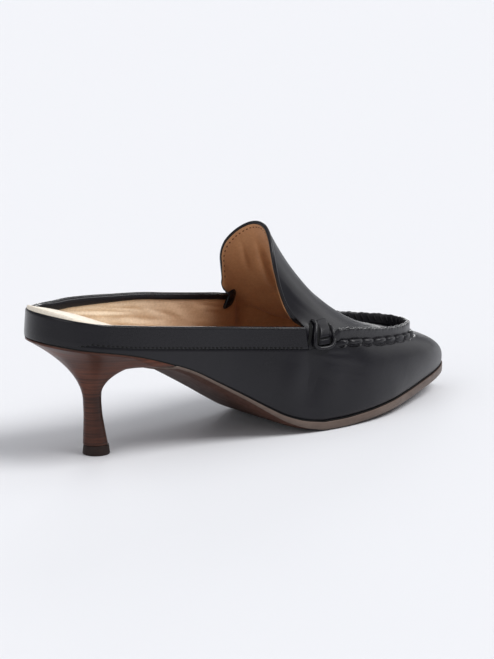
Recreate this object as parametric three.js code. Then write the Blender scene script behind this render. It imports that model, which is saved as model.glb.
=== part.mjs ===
// A right mule shoe with a moccasin apron, a high tongue, an open back and a flared
// kitten heel. Millimetres, +Z up, +X to the toe, +Y to the inner (medial) side.
// The upper is one hollow shell lofted through ribs of the last, and every other
// piece takes its shape from the same sole line and outline.

import * as THREE from "three";
import { mergeVertices } from "three/addons/utils/BufferGeometryUtils.js";

// ---- driving dimensions --------------------------------------------------------
const length = 238.5;         // heel back to toe tip, level
const ballHalf = 35;          // half the width of the sole's tread
const seatHeight = 55.5;      // floor to the heel seat, at the back
const toeSpring = 8;          // floor to the underside of the sole at the toe tip
const treadStart = 136;       // the flat of the forefoot that stands on the floor
const treadEnd = 149;
const gap = 0.3;              // clearance between touching pieces
const wall = 2.0;             // upper with its lining
const cornerAlong = 128;      // where the topline turns up into the tongue
const cornerFoot = 132;       // the same rib at the feather line
const bandHeight = 10;        // top band, from its seam to the topline
const lipHeight = 3.0;        // hand-sewn lip around the apron
const lipWidth = 2.6;
const seatRadius = 26;        // roundness of the heel seat in plan
const sideFullness = 0.8;     // how far the instep swells beside the tongue
const cornerReach = 45;       // how far the lift of the inner corner is felt along
const cornerRise = 32;        // and up
const medialPull = 1.8;       // the inner corner of the topline stands nearer the middle
const soleReach = 0.4;        // sole edge beyond the feather line
const soleEdgeRise = 0.9;     // its underside lifts this much at the edge of the tread
const footbedInset = 1.15;     // from the wall's inner face to the footbed
const footbedRound = 1.2;     // rounded edge of the footbed
const footbedDish = 0.8;      // hollow of the footbed
const endPull = 9;            // the middle line stops this far from heel and toe
const breastAlong = 55;       // where the heel's front edge meets the sole
const breastHollow = 3;       // the heel's front edge curves back this far
const wingUnder = 41.6;       // level underside of the heel's wing, in front of the neck
const wingEdge = 0.5;         // its thinnest edge
const wingReach = 0.72;       // share of the way to the front edge where it turns level
const outsoleStart = 46;      // the sole ends here, under the wing
const outsoleTongue = 12;     // and narrows over this length
const seatLip = 0.9;          // edge left at the top of the heel
const neckHeight = 24;        // where the round stem turns into the flare
const tipHeight = 4.5;        // top piece at the foot of the heel
const tipChamfer = 0.4;
const sides = 32;             // facets round the top piece
const tabStart = 129.8;       // side tabs: place along and height on the lateral side
const tabEnd = 144;
const tabBottom = 38.6;
const tabTop = 51.5;
const tabMedialLift = 4.5;
const tabGap = 1.0;           // facets under the tab need a little more clearance
const tabGapMedial = 1.35;    // and the tighter curve of the medial side more again
const tabPiping = 2.0;        // how proud the tab's piping, strap and slots stand
const tabStrap = 1.4;
const tabSlot = 0.5;

// ---- small curve tools ---------------------------------------------------------
const lerp = THREE.MathUtils.lerp;
const clamp = THREE.MathUtils.clamp;

// A monotone curve through rows[key] against rows[at]: no overshoot between rows.
function through(rows, at, key) {
  const xs = rows.map((row) => row[at]);
  const ys = rows.map((row) => row[key]);
  const last = xs.length - 1;
  const chord = xs.slice(1).map((x, i) => (ys[i + 1] - ys[i]) / (x - xs[i]));
  const slope = xs.map((x, i) => {
    if (i === 0) return chord[0];
    if (i === last) return chord[last - 1];
    const before = chord[i - 1];
    const after = chord[i];
    return before * after <= 0 ? 0 : (2 * before * after) / (before + after);
  });
  return (x) => {
    const clamped = clamp(x, xs[0], xs[last]);
    let i = 0;
    while (i < last - 1 && clamped > xs[i + 1]) i += 1;
    const span = xs[i + 1] - xs[i];
    const t = (clamped - xs[i]) / span;
    const rise = ys[i + 1] - ys[i];
    const bend = slope[i] * span * t * (1 - t) ** 2 - slope[i + 1] * span * t * t * (1 - t);
    return ys[i] + rise * t * t * (3 - 2 * t) + bend;
  };
}

function bezier(a, b, c, d, t) {
  const s = 1 - t;
  return new THREE.Vector3()
    .addScaledVector(a, s * s * s)
    .addScaledVector(b, 3 * s * s * t)
    .addScaledVector(c, 3 * s * t * t)
    .addScaledVector(d, t * t * t);
}

// ---- the sole line -------------------------------------------------------------
// Underside of the sole as a share of the seat height, from the heel to the tread.
const archRows = [
  { along: 0, rise: 0.964, thick: 2.0 },
  { along: 11, rise: 0.927, thick: 2.0 },
  { along: 20, rise: 0.899, thick: 2.1 },
  { along: 35, rise: 0.834, thick: 2.3 },
  { along: 50, rise: 0.744, thick: 2.4 },
  { along: 65, rise: 0.632, thick: 2.8 },
  { along: 80, rise: 0.479, thick: 3.3 },
  { along: 95, rise: 0.321, thick: 3.7 },
  { along: 107, rise: 0.191, thick: 3.9 },
  { along: 117, rise: 0.092, thick: 4.1 },
  { along: 126, rise: 0.034, thick: 4.2 },
  { along: treadStart, rise: 0, thick: 4.2 },
];
const archRise = through(archRows, "along", "rise");
const soleThickness = through(archRows, "along", "thick");

function soleBottom(x) {
  if (x < treadStart) return seatHeight * archRise(x);
  const forward = clamp((x - treadEnd) / (length - treadEnd), 0, 1);
  return toeSpring * forward ** 1.2;
}

// What the upper and the footbed rest on: the sole's top, and the heel's behind it.
const soleTop = (x) => soleBottom(x) + soleThickness(x);
const feather = (x) => soleTop(x) + gap;

// ---- the outline of the last's underside ---------------------------------------
// Half widths as shares of the ball's half width, lateral (outer) and medial (inner).
const outlineRows = [
  { along: 0, lateral: 0, medial: 0 },
  { along: 2.5, lateral: 0.310, medial: 0.310 },
  { along: 9, lateral: 0.570, medial: 0.565 },
  { along: 22, lateral: 0.765, medial: 0.745 },
  { along: 40, lateral: 0.800, medial: 0.735 },
  { along: 60, lateral: 0.790, medial: 0.675 },
  { along: 85, lateral: 0.775, medial: 0.600 },
  { along: 110, lateral: 0.840, medial: 0.650 },
  { along: 130, lateral: 0.930, medial: 0.800 },
  { along: 147, lateral: 0.965, medial: 0.960 },
  { along: 163, lateral: 0.945, medial: 1.020 },
  { along: 179, lateral: 0.860, medial: 0.965 },
  { along: 195, lateral: 0.690, medial: 0.800 },
  { along: 210, lateral: 0.500, medial: 0.610 },
  { along: 223, lateral: 0.325, medial: 0.450 },
  { along: 232, lateral: 0.165, medial: 0.305 },
  { along: 236.5, lateral: 0.050, medial: 0.180 },
  { along: length, lateral: -0.060, medial: 0.060 },
];
const turn = (along) => Math.acos(clamp(1 - (2 * along) / length, -1, 1));
const turnedRows = outlineRows.map((row) => ({ ...row, turn: turn(row.along) }));
const lateralShare = through(turnedRows, "turn", "lateral");
const medialShare = through(turnedRows, "turn", "medial");

// side is -1 on the lateral side and +1 on the medial side.
function outlineY(x, side) {
  const share = side < 0 ? -lateralShare(turn(x)) : medialShare(turn(x));
  return ballHalf * share;
}

// The feather line from a place on one side, round an end of the shoe, to the other.
function featherPath(fromX, fromSide, overX) {
  const points = [];
  const steps = 60;
  for (let i = -steps; i <= steps; i += 1) {
    const side = i < 0 ? fromSide : -fromSide;
    const ease = Math.sin((Math.abs(i) / steps) * (Math.PI / 2)) ** 2;
    const x = lerp(overX, fromX, ease);
    points.push(new THREE.Vector3(x, outlineY(x, side), feather(x)));
  }
  return new THREE.CatmullRomCurve3(points);
}

// ---- the topline ---------------------------------------------------------------
const toplineRows = [
  { along: 0, height: 68.5, medialExtra: 0 },
  { along: 9, height: 66.4, medialExtra: 0.4 },
  { along: 25, height: 63.6, medialExtra: 2.4 },
  { along: 36, height: 61.8, medialExtra: 4.5 },
  { along: 56, height: 58.8, medialExtra: 6.6 },
  { along: 78, height: 55.6, medialExtra: 8.2 },
  { along: 112, height: 51.1, medialExtra: 8.0 },
  { along: cornerAlong, height: 49.2, medialExtra: 6.6 },
];
const toplineHeight = through(toplineRows, "along", "height");
const medialExtra = through(toplineRows, "along", "medialExtra");
const topline = (x, side) => toplineHeight(x) + (side > 0 ? medialExtra(x) : 0);

// The low wall leans in a little from the feather line to the topline.
const leanRows = [
  { along: 0, lean: 0.8 },
  { along: 45, lean: 0.9 },
  { along: 95, lean: 1.2 },
  { along: cornerAlong, lean: 2.0 },
];
const wallLean = through(leanRows, "along", "lean");

function wallPoint(footX, side, share) {
  const x = footX * lerp(1, cornerAlong / cornerFoot, share);
  const inward = wallLean(x) * share * share;
  const y = outlineY(x, side) * (1 - inward / seatRadius);
  const height = lerp(feather(footX), topline(x, side), share);
  return new THREE.Vector3(x + inward * clamp(1 - x / seatRadius, 0, 1), y, height);
}

const seamShare = (footX, side) => 1 - bandHeight / (topline(footX, side) - feather(footX));

// The tongue's edge from its corner to its top, and the apron's seam from the corner
// to its front. Both start at the corner rib of the low wall.
const tongueRows = [
  { x: 124.6, y: 26.8, z: 53.8 },
  { x: 121.2, y: 24.2, z: 60.0 },
  { x: 118.8, y: 22.2, z: 68.0 },
  { x: 117.6, y: 20.8, z: 76.0 },
  { x: 118.2, y: 18.2, z: 83.0 },
  { x: 120.9, y: 13.0, z: 89.2 },
  { x: 123.7, y: 6.2, z: 93.4 },
  { x: 124.6, y: 0.0, z: 94.5 },
];
const apronRows = [
  { x: 136.0, y: 32.4, z: 41.2 },
  { x: 144.0, y: 32.4, z: 42.2 },
  { x: 156.0, y: 30.8, z: 40.8 },
  { x: 168.0, y: 28.0, z: 38.4 },
  { x: 179.0, y: 24.6, z: 36.4 },
  { x: 190.0, y: 20.4, z: 34.8 },
  { x: 200.0, y: 15.2, z: 33.7 },
  { x: 207.6, y: 8.4, z: 33.2 },
  { x: 210.2, y: 0.0, z: 33.0 },
];

function bothSides(rows, share) {
  const corner = (side) => wallPoint(cornerFoot, side, share(side));
  const lateral = rows.map(({ x, y, z }) => new THREE.Vector3(x, -y, z));
  const lift = corner(1).z - corner(-1).z;
  const medial = rows.slice(0, -1).reverse().map(({ x, y, z }) => {
    const near = clamp(1 - Math.abs(x - cornerAlong) / cornerReach, 0, 1);
    const low = clamp(1 - (z - corner(-1).z) / cornerRise, 0, 1);
    return new THREE.Vector3(x, y - medialPull * near * low, z + lift * near * low);
  });
  return new THREE.CatmullRomCurve3([corner(-1), ...lateral, ...medial, corner(1)]);
}

const tongueEdge = bothSides(tongueRows, () => 1);
const apronSeam = bothSides(apronRows, (side) => seamShare(cornerFoot, side));
const vampFeather = featherPath(cornerFoot, -1, length);
const quarterFeather = featherPath(cornerFoot, 1, 0);

// ---- ribs of the upper ---------------------------------------------------------
// Handles of the two curves of each vamp rib: feather line to seam, seam to edge.
// turn is 0 at the corners and 1 at the toe.
const ribRows = [
  { turn: 0.0, out: 1.6, up: 11.4, over: 1.0, under: 11.4, back: 0, rise: 3, fore: 0, fall: 3 },
  { turn: 0.16, out: 3.4, up: 13, over: 2.6, under: 9.0, back: 3, rise: 5, fore: 2, fall: 6 },
  { turn: 0.4, out: 4.6, up: 12, over: 6.0, under: 8.0, back: 16, rise: 4, fore: 10, fall: 13 },
  { turn: 0.7, out: 4.2, up: 10, over: 12, under: 6.0, back: 24, rise: 4, fore: 19, fall: 30 },
  { turn: 1.0, out: 0.8, up: 9, over: 17.5, under: 5.3, back: 28, rise: 4, fore: 27, fall: 48 },
];
const handle = (key) => through(ribRows, "turn", key);
const rib = {
  out: handle("out"),
  up: handle("up"),
  over: handle("over"),
  under: handle("under"),
  back: handle("back"),
  rise: handle("rise"),
  fore: handle("fore"),
  fall: handle("fall"),
};

function outwardAt(curve, u) {
  const tangent = curve.getTangentAt(u);
  return new THREE.Vector3(tangent.y, -tangent.x, 0).normalize();
}

// A point of the vamp: u runs from the lateral corner over the toe to the medial one,
// and v from the feather line (0) over the seam (1) to the tongue's edge (2).
function vampPoint(u, v) {
  const turned = 1 - Math.abs(2 * u - 1);
  const foot = vampFeather.getPointAt(u);
  const seam = apronSeam.getPointAt(u);
  const edge = tongueEdge.getPointAt(u);
  if (v <= 1) {
    const outward = outwardAt(vampFeather, u);
    const low = foot.clone().addScaledVector(outward, rib.out(turned));
    low.z += rib.up(turned);
    const high = seam.clone().addScaledVector(outward, rib.over(turned));
    high.z -= rib.under(turned);
    return bezier(foot, low, high, seam, v);
  }
  const free = THREE.MathUtils.smoothstep(turned, 0, 0.16);
  const rising = new THREE.Vector3(-rib.back(turned), 0, rib.rise(turned)).add(seam);
  const falling = new THREE.Vector3(rib.fore(turned), 0, -rib.fall(turned)).add(edge);
  falling.y += sideFullness * Math.sin(Math.PI * (2 * u - 1));
  const start = seam.clone().lerp(edge, 1 / 3).lerp(rising, free);
  const end = seam.clone().lerp(edge, 2 / 3).lerp(falling, free);
  return bezier(seam, start, end, edge, v - 1);
}

// A point of the low wall: u runs from the medial corner round the heel to the
// lateral one, and v again from the feather line over the band's seam to the topline.
function quarterPoint(u, v) {
  const foot = quarterFeather.getPointAt(u);
  const side = foot.y > 0 ? 1 : -1;
  const share = seamShare(foot.x, side);
  const seam = wallPoint(foot.x, side, share);
  if (v > 1) return seam.lerp(wallPoint(foot.x, side, 1), v - 1);
  const bulge = THREE.MathUtils.smoothstep(foot.x, 45, cornerFoot);
  const outward = outwardAt(quarterFeather, u);
  const low = foot.clone().addScaledVector(outward, rib.out(0) * bulge);
  const high = seam.clone().addScaledVector(outward, rib.over(0) * bulge);
  low.z = lerp(foot.z, seam.z, 1 / 3);
  high.z = lerp(foot.z, seam.z, 2 / 3);
  return bezier(foot, low, high, seam, v);
}

// The ribs stand side by side round the whole shoe, vamp first.
const vampRibs = 60;
const quarterRibs = 40;
const ribCount = vampRibs + quarterRibs;

function upperPoint(index, v) {
  const i = (index + ribCount) % ribCount;
  return i < vampRibs ? vampPoint(i / vampRibs, v) : quarterPoint((i - vampRibs) / quarterRibs, v);
}

function upperNormal(index, v) {
  const step = 0.03;
  const along = upperPoint(index + 1, v).sub(upperPoint(index - 1, v));
  const across = upperPoint(index, Math.min(v + step, 2)).sub(
    upperPoint(index, Math.max(v - step, 0)),
  );
  return across.cross(along).negate().normalize();
}

// ---- solids from loops ---------------------------------------------------------
function solidFromTriangles(points, triangles) {
  const geometry = new THREE.BufferGeometry();
  const positions = points.flatMap((point) => point.toArray());
  geometry.setAttribute("position", new THREE.Float32BufferAttribute(positions, 3));
  geometry.setIndex(triangles);
  return dropSlivers(mergeVertices(geometry, 1e-4));
}

function dropSlivers(geometry) {
  const index = geometry.getIndex().array;
  const kept = [];
  for (let i = 0; i < index.length; i += 3) {
    const [a, b, c] = index.slice(i, i + 3);
    if (a !== b && b !== c && c !== a) kept.push(a, b, c);
  }
  geometry.setIndex(kept);
  geometry.computeVertexNormals();
  return geometry;
}

// Joins closed loops of equally many points in order. A ring of loops ends where it
// began; otherwise the first and last loops must close on themselves.
function joinLoops(loops, ring) {
  const count = loops[0].length;
  const triangles = [];
  const strips = ring ? loops.length : loops.length - 1;
  for (let j = 0; j < strips; j += 1) {
    const here = j * count;
    const next = ((j + 1) % loops.length) * count;
    for (let i = 0; i < count; i += 1) {
      const k = (i + 1) % count;
      triangles.push(here + i, here + k, next + k, here + i, next + k, next + i);
    }
  }
  return solidFromTriangles(loops.flat(), triangles);
}

// ---- the upper -----------------------------------------------------------------
function lipShape(index) {
  const u = index / vampRibs;
  if (u >= 1) return { height: 0, spread: 0.3 };
  const turned = 1 - Math.abs(2 * u - 1);
  const grown = THREE.MathUtils.smoothstep(turned, 0.18, 0.25);
  return { height: lipHeight * grown, spread: lerp(0.3, 1, grown) };
}

// The lip's cross section: share of its half width across, share of its height.
const lipRows = [
  { across: -1.0, stand: 0 },
  { across: -0.85, stand: 0.8 },
  { across: -0.3, stand: 1 },
  { across: 0.4, stand: 0.95 },
  { across: 0.8, stand: 0.6 },
  { across: 1.0, stand: 0 },
];

function lipPoint(index, { across, stand }) {
  const { height, spread } = lipShape(index);
  const probe = 0.02;
  const side = Math.sign(across);
  const speed = upperPoint(index, 1).distanceTo(upperPoint(index, 1 + side * probe)) / probe;
  const reach = clamp((lipWidth / 2) * spread / speed, 0, 0.045);
  const normal = upperNormal(index, 1);
  return upperPoint(index, 1 + across * reach).addScaledVector(normal, stand * height);
}

function makeUpper() {
  const indices = Array.from({ length: ribCount }, (_, i) => i);
  const ring = (v) => indices.map((i) => upperPoint(i, v));
  const wallRows = [0, 0.1, 0.22, 0.36, 0.5, 0.64, 0.78, 0.92];
  const topRows = [1.08, 1.2, 1.33, 1.46, 1.6, 1.74, 1.87, 2];
  const outer = [
    ...wallRows.map(ring),
    ...lipRows.map((row) => indices.map((i) => lipPoint(i, row))),
    ...topRows.map(ring),
  ];
  const innerRows = [2, 1.84, 1.67, 1.5, 1.34, 1.17, 1, 0.8, 0.6, 0.4, 0.2, 0];
  const inner = innerRows.map((v) =>
    indices.map((i) => {
      const point = upperPoint(i, v).addScaledVector(upperNormal(i, v), -wall);
      if (v === 0) point.z = feather(point.x);
      return point;
    }),
  );
  return joinLoops([...outer, ...inner], true);
}

// ---- flat pieces under the foot ------------------------------------------------
function stations(count, start) {
  const span = length - start;
  const xs = [];
  for (let i = 0; i <= count; i += 1) {
    xs.push(start + (span / 2) * (1 - Math.cos((Math.PI * i) / count)));
  }
  for (const exact of [treadStart, treadEnd]) {
    const nearest = xs.reduce((best, x, i) =>
      (Math.abs(x - exact) < Math.abs(xs[best] - exact) ? i : best), 0);
    xs[nearest] = exact;
  }
  return xs;
}

// The outline moved in by inset, as a loop: lateral side to the toe, medial side back.
// half gives the half width on a side, so that a piece can end before the heel.
function outlineLoop(count, inset, start = 0, half = outlineY) {
  const xs = stations(count, start);
  const lateral = xs.map((x) => new THREE.Vector2(x, half(x, -1)));
  const medial = xs.slice(1, -1).reverse().map((x) => new THREE.Vector2(x, half(x, 1)));
  const loop = [...lateral, ...medial];
  return loop.map((point, i) => {
    const before = loop[(i + loop.length - 1) % loop.length];
    const after = loop[(i + 1) % loop.length];
    const tangent = after.clone().sub(before).normalize();
    return new THREE.Vector2(point.x - tangent.y * inset, point.y + tangent.x * inset);
  });
}

// Draws a loop in towards its middle line by share, where 1 folds it shut. The middle
// line stops short of both ends, where the loop fans into one point.
function drawnIn(loop, share) {
  const middles = loop.map((point, i) => {
    const opposite = loop[(loop.length - i) % loop.length];
    return point.clone().add(opposite).multiplyScalar(0.5);
  });
  const half = loop.length / 2;
  const first = middles.findIndex(({ x }) => x > loop[0].x + endPull);
  const last = middles.findIndex(({ x }) => x > loop[half].x - endPull) - 1;
  return loop.map((point, i) => {
    const rank = clamp(i <= half ? i : loop.length - i, first, last);
    return point.clone().lerp(middles[rank], share);
  });
}

function slab(loop, rows) {
  const loops = rows.map(({ share, height }) =>
    drawnIn(loop, share).map(({ x, y }) => new THREE.Vector3(x, y, height(x, y))),
  );
  return joinLoops(loops, false);
}

// Behind the heel's front edge the sole runs level under the heel's wing and ends in
// a tongue that narrows to the breast.
const outsoleTop = (x) => Math.min(soleTop(x), wingUnder - gap);

function outsoleHalf(x, side) {
  const narrowed = clamp((x - outsoleStart) / outsoleTongue, 0, 1);
  return outlineY(x, side) * Math.sqrt(narrowed * (2 - narrowed));
}

function makeOutsole() {
  const edgeRise = (x) => soleEdgeRise * THREE.MathUtils.smoothstep(x, 90, treadStart);
  const under = (share, raised) => ({
    share,
    height: (x) => outsoleTop(x) - soleThickness(x) + edgeRise(x) * raised,
  });
  return slab(outlineLoop(40, -soleReach, outsoleStart, outsoleHalf), [
    under(1, 0),
    under(0.6, 0),
    under(0.25, 0),
    under(0.07, 0.35),
    under(0, 1),
    { share: 0, height: outsoleTop },
    { share: 0.3, height: outsoleTop },
    { share: 0.65, height: outsoleTop },
    { share: 1, height: outsoleTop },
  ]);
}

// Footbed: its top as a height over the sole line, thick at the seat.
const footbedRows = [
  { along: 0, deep: 12.6 },
  { along: 10, deep: 12.0 },
  { along: 25, deep: 11.2 },
  { along: 45, deep: 10.0 },
  { along: 65, deep: 9.2 },
  { along: 90, deep: 7.2 },
  { along: 125, deep: 4.6 },
  { along: 170, deep: 3.6 },
  { along: length, deep: 2.6 },
];
const footbedDeep = through(footbedRows, "along", "deep");
const footbedTop = (x) => soleTop(x) + footbedDeep(x);

function makeInsole() {
  const bottom = (x) => soleTop(x) + gap;
  return slab(outlineLoop(36, wall + footbedInset), [
    { share: 1, height: bottom },
    { share: 0.5, height: bottom },
    { share: 0, height: bottom },
    { share: 0, height: (x) => footbedTop(x) - footbedRound },
    { share: 0.05, height: footbedTop },
    { share: 0.4, height: (x) => footbedTop(x) - footbedDish },
    { share: 1, height: (x) => footbedTop(x) - footbedDish },
  ]);
}

// ---- the heel ------------------------------------------------------------------
// The stem from the floor to its neck, then a trumpet out to the seat's outline.
const stemRows = [
  { height: 0, centre: 31.9, radius: 6.2 },
  { height: tipHeight + gap, centre: 31.5, radius: 5.6 },
  { height: 9, centre: 31.1, radius: 5.1 },
  { height: 14, centre: 30.7, radius: 4.6 },
  { height: 19, centre: 30.3, radius: 4.2 },
  { height: neckHeight, centre: 30.0, radius: 4.1 },
];
const stemCentre = through(stemRows, "height", "centre");
const stemRadius = through(stemRows, "height", "radius");

function heelOutline() {
  const around = featherPath(breastAlong, 1, 0.4);
  const points = around.getSpacedPoints(34).map(({ x, y }) => new THREE.Vector2(x, y));
  const first = points[0];
  const last = points[points.length - 1];
  const breastSteps = 10;
  for (let i = 1; i < breastSteps; i += 1) {
    const across = i / breastSteps;
    const point = last.clone().lerp(first, across);
    point.x -= breastHollow * Math.sin(Math.PI * across);
    points.push(point);
  }
  return points;
}

function makeHeel() {
  const seat = heelOutline();
  const neck = new THREE.Vector2(stemCentre(neckHeight), 0);
  const directions = seat.map((point) => point.clone().sub(neck).normalize());
  const stemLoop = (height) => directions.map((direction) => {
    const radius = stemRadius(height);
    const x = stemCentre(height) + direction.x * radius;
    return new THREE.Vector3(x, direction.y * radius, height);
  });
  const flareLoop = (share) => seat.map((rim, i) => {
    const from = neck.clone().addScaledVector(directions[i], stemRadius(neckHeight));
    const front = THREE.MathUtils.smoothstep(directions[i].x, 0.1, 0.75);
    const { x, y } = from.lerp(rim, share ** lerp(2.0, 2.4, front));
    const top = soleTop(rim.x) - seatLip;
    const flared = lerp(neckHeight, top, share);
    const level = lerp(neckHeight, wingUnder, Math.min(share / wingReach, 1) ** 0.8);
    return new THREE.Vector3(x, y, lerp(flared, level, front));
  });
  const seatLoop = (share) => seat.map((rim) => {
    const { x, y } = rim.clone().lerp(neck, share);
    return new THREE.Vector3(x, y, Math.max(soleTop(x), wingUnder + wingEdge));
  });
  const base = tipHeight + gap;
  const foot = directions.map(() => new THREE.Vector3(stemCentre(base), 0, base));
  const flares = [0.14, 0.28, 0.42, 0.55, 0.67, 0.78, 0.87, 0.94, 1];
  return joinLoops([
    foot,
    ...stemRows.slice(1).map(({ height }) => stemLoop(height)),
    ...flares.map(flareLoop),
    ...[0, 0.35, 0.7, 1].map(seatLoop),
  ], false);
}

function makeHeelTip() {
  const profile = [
    new THREE.Vector2(0, 0),
    new THREE.Vector2(stemRadius(0) - tipChamfer, 0),
    new THREE.Vector2(stemRadius(0), tipChamfer),
    new THREE.Vector2(stemRadius(tipHeight), tipHeight),
    new THREE.Vector2(0, tipHeight),
  ];
  const geometry = new THREE.LatheGeometry(profile, sides);
  geometry.deleteAttribute("normal");
  geometry.deleteAttribute("uv");
  geometry.rotateX(Math.PI / 2);
  geometry.translate(stemCentre(0), 0, 0);
  return dropSlivers(mergeVertices(geometry, 1e-4));
}

// ---- side tabs -----------------------------------------------------------------
// The place (u, v) on the vamp that lies at a given distance along and height.
function vampPlace(x, z, side) {
  let u = side < 0 ? 0.05 : 0.95;
  let v = 1.1;
  const step = 1e-3;
  for (let round = 0; round < 30; round += 1) {
    const here = vampPoint(u, v);
    const byU = vampPoint(u + step, v).sub(here).divideScalar(step);
    const byV = vampPoint(u, v + step).sub(here).divideScalar(step);
    const det = byU.x * byV.z - byU.z * byV.x;
    const dx = x - here.x;
    const dz = z - here.z;
    u = clamp(u + 0.6 * (dx * byV.z - dz * byV.x) / det, 0.002, 0.995);
    v = clamp(v + 0.6 * (dz * byU.x - dx * byU.z) / det, 0.3, 1.98);
  }
  return { u, v };
}

function vampNormal(u, v) {
  const step = 2e-3;
  const along = vampPoint(u + step, v).sub(vampPoint(u - step, v));
  const across = vampPoint(u, v + step).sub(vampPoint(u, v - step));
  return across.cross(along).negate().normalize();
}

// How proud the tab stands: a U of piping, with the keeper strap framed by two slots.
function tabRelief(a, b) {
  const rim = Math.min(a, 1 - a, b + 0.02);
  if (rim < 0.12) return tabPiping;
  const strap = Math.abs(a - 0.5) < 0.27;
  return strap ? tabStrap : tabSlot;
}

function makeTab(side) {
  const columns = [0, 0.1, 0.14, 0.22, 0.26, 0.5, 0.74, 0.78, 0.86, 0.9, 1];
  const rows = [0, 0.08, 0.14, 0.4, 0.7, 1];
  const lift = side > 0 ? tabMedialLift : 0;
  const layers = [0, 1].map((layer) =>
    rows.map((b) =>
      columns.map((a) => {
        const x = lerp(tabStart, tabEnd, a);
        const z = lerp(tabBottom, tabTop, b) + lift;
        const { u, v } = vampPlace(x, z, side);
        const proud = (side > 0 ? tabGapMedial : tabGap) + layer * tabRelief(a, b);
        return vampPoint(u, v).addScaledVector(vampNormal(u, v), proud);
      }),
    ),
  );
  const points = layers.flat(2);
  const wide = columns.length;
  const at = (layer, r, c) => layer * rows.length * wide + r * wide + c;
  const triangles = [];
  const quad = (p, q, r, s) => triangles.push(p, q, r, p, r, s);
  for (let r = 0; r < rows.length - 1; r += 1) {
    for (let c = 0; c < wide - 1; c += 1) {
      quad(at(1, r, c), at(1, r, c + 1), at(1, r + 1, c + 1), at(1, r + 1, c));
      quad(at(0, r, c), at(0, r + 1, c), at(0, r + 1, c + 1), at(0, r, c + 1));
    }
    quad(at(0, r, 0), at(1, r, 0), at(1, r + 1, 0), at(0, r + 1, 0));
    const end = wide - 1;
    quad(at(0, r, end), at(0, r + 1, end), at(1, r + 1, end), at(1, r, end));
  }
  for (let c = 0; c < wide - 1; c += 1) {
    quad(at(0, 0, c), at(0, 0, c + 1), at(1, 0, c + 1), at(1, 0, c));
    const top = rows.length - 1;
    quad(at(0, top, c), at(1, top, c), at(1, top, c + 1), at(0, top, c + 1));
  }
  if (side > 0) triangles.reverse();
  return solidFromTriangles(points, triangles);
}

// ---- the shoe ------------------------------------------------------------------
const calf = { color: "#1d1c1f", roughness: 0.42, metalness: 0 };
const soleLeather = { color: "#5a3626", roughness: 0.55, metalness: 0 };
const heelWood = { color: "#3f2119", roughness: 0.5, metalness: 0 };
const tipRubber = { color: "#2c1a14", roughness: 0.8, metalness: 0 };
const liningLeather = { color: "#d8b083", roughness: 0.65, metalness: 0 };

function piece(name, geometry, finish) {
  const mesh = new THREE.Mesh(geometry, new THREE.MeshStandardMaterial(finish));
  mesh.name = name;
  return mesh;
}

const shoe = new THREE.Group();
shoe.add(
  piece("upper", makeUpper(), calf),
  piece("outsole", makeOutsole(), soleLeather),
  piece("insole", makeInsole(), liningLeather),
  piece("heel", makeHeel(), heelWood),
  piece("heel_tip", makeHeelTip(), tipRubber),
  piece("tab_lateral", makeTab(-1), calf),
  piece("tab_medial", makeTab(1), calf),
);

const box = new THREE.Box3().setFromObject(shoe);
const centre = box.getCenter(new THREE.Vector3());
shoe.position.set(-centre.x, -centre.y, -box.min.z);

export default shoe;
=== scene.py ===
"""Looks of a right mule shoe: black calf, hand-sewn apron, stacked kitten heel.

Everything is in the shoe's own millimetres (heel back at x = 0, +X to the toe, +Y to
the inner side, floor at z = 0) until place() puts it in the shared frame in metres.
"""

import math

import bmesh
import bpy
import numpy as np
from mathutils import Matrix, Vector


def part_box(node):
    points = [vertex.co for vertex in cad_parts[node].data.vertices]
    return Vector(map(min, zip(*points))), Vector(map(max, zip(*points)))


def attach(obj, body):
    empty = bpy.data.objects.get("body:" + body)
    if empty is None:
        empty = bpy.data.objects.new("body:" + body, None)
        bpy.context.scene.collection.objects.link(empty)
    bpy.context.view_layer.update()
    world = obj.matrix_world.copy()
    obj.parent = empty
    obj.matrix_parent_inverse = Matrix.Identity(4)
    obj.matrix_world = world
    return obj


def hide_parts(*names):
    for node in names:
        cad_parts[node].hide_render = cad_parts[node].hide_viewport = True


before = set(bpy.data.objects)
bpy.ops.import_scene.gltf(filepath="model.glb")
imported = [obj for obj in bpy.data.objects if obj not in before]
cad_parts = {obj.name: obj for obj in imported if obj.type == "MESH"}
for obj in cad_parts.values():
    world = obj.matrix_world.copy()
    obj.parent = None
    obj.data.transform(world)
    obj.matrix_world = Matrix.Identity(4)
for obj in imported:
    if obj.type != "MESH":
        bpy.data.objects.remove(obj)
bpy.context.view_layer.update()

# ---- sizes of the last, as in the CAD source ----
LENGTH = 238.5
BALL_HALF = 35.0
SEAT_HEIGHT = 55.5
TOE_SPRING = 8.0
TREAD_START = 136.0
TREAD_END = 149.0
GAP = 0.3
CORNER_ALONG = 128.0
CORNER_FOOT = 132.0
BAND_HEIGHT = 10.0
SEAT_RADIUS = 26.0
SIDE_FULLNESS = 0.8
CORNER_REACH = 45.0
CORNER_RISE = 32.0
MEDIAL_PULL = 1.8
BREAST_ALONG = 55.0
BREAST_HOLLOW = 3.0
WING_UNDER = 41.6
WING_EDGE = 0.5
WING_REACH = 0.72
NECK_HEIGHT = 24.0
TIP_HEIGHT = 4.5
SEAT_LIP = 0.9
STEM_FOOT = 31.9

MM_PER_METRE = 1000

tip_low, tip_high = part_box("heel_tip")
tip_middle = (np.array(tip_low) + np.array(tip_high)) / 2 * MM_PER_METRE
SHIFT = np.array([tip_middle[0] - STEM_FOOT, tip_middle[1], 0.0])


def place(points):
    return (np.asarray(points, float) + SHIFT) / MM_PER_METRE


# ---- small tools ----
def mix(a, b, t):
    return a + (b - a) * t


def smooth(x, low, high):
    t = np.clip((np.asarray(x, float) - low) / (high - low), 0, 1)
    return t * t * (3 - 2 * t)


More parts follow.
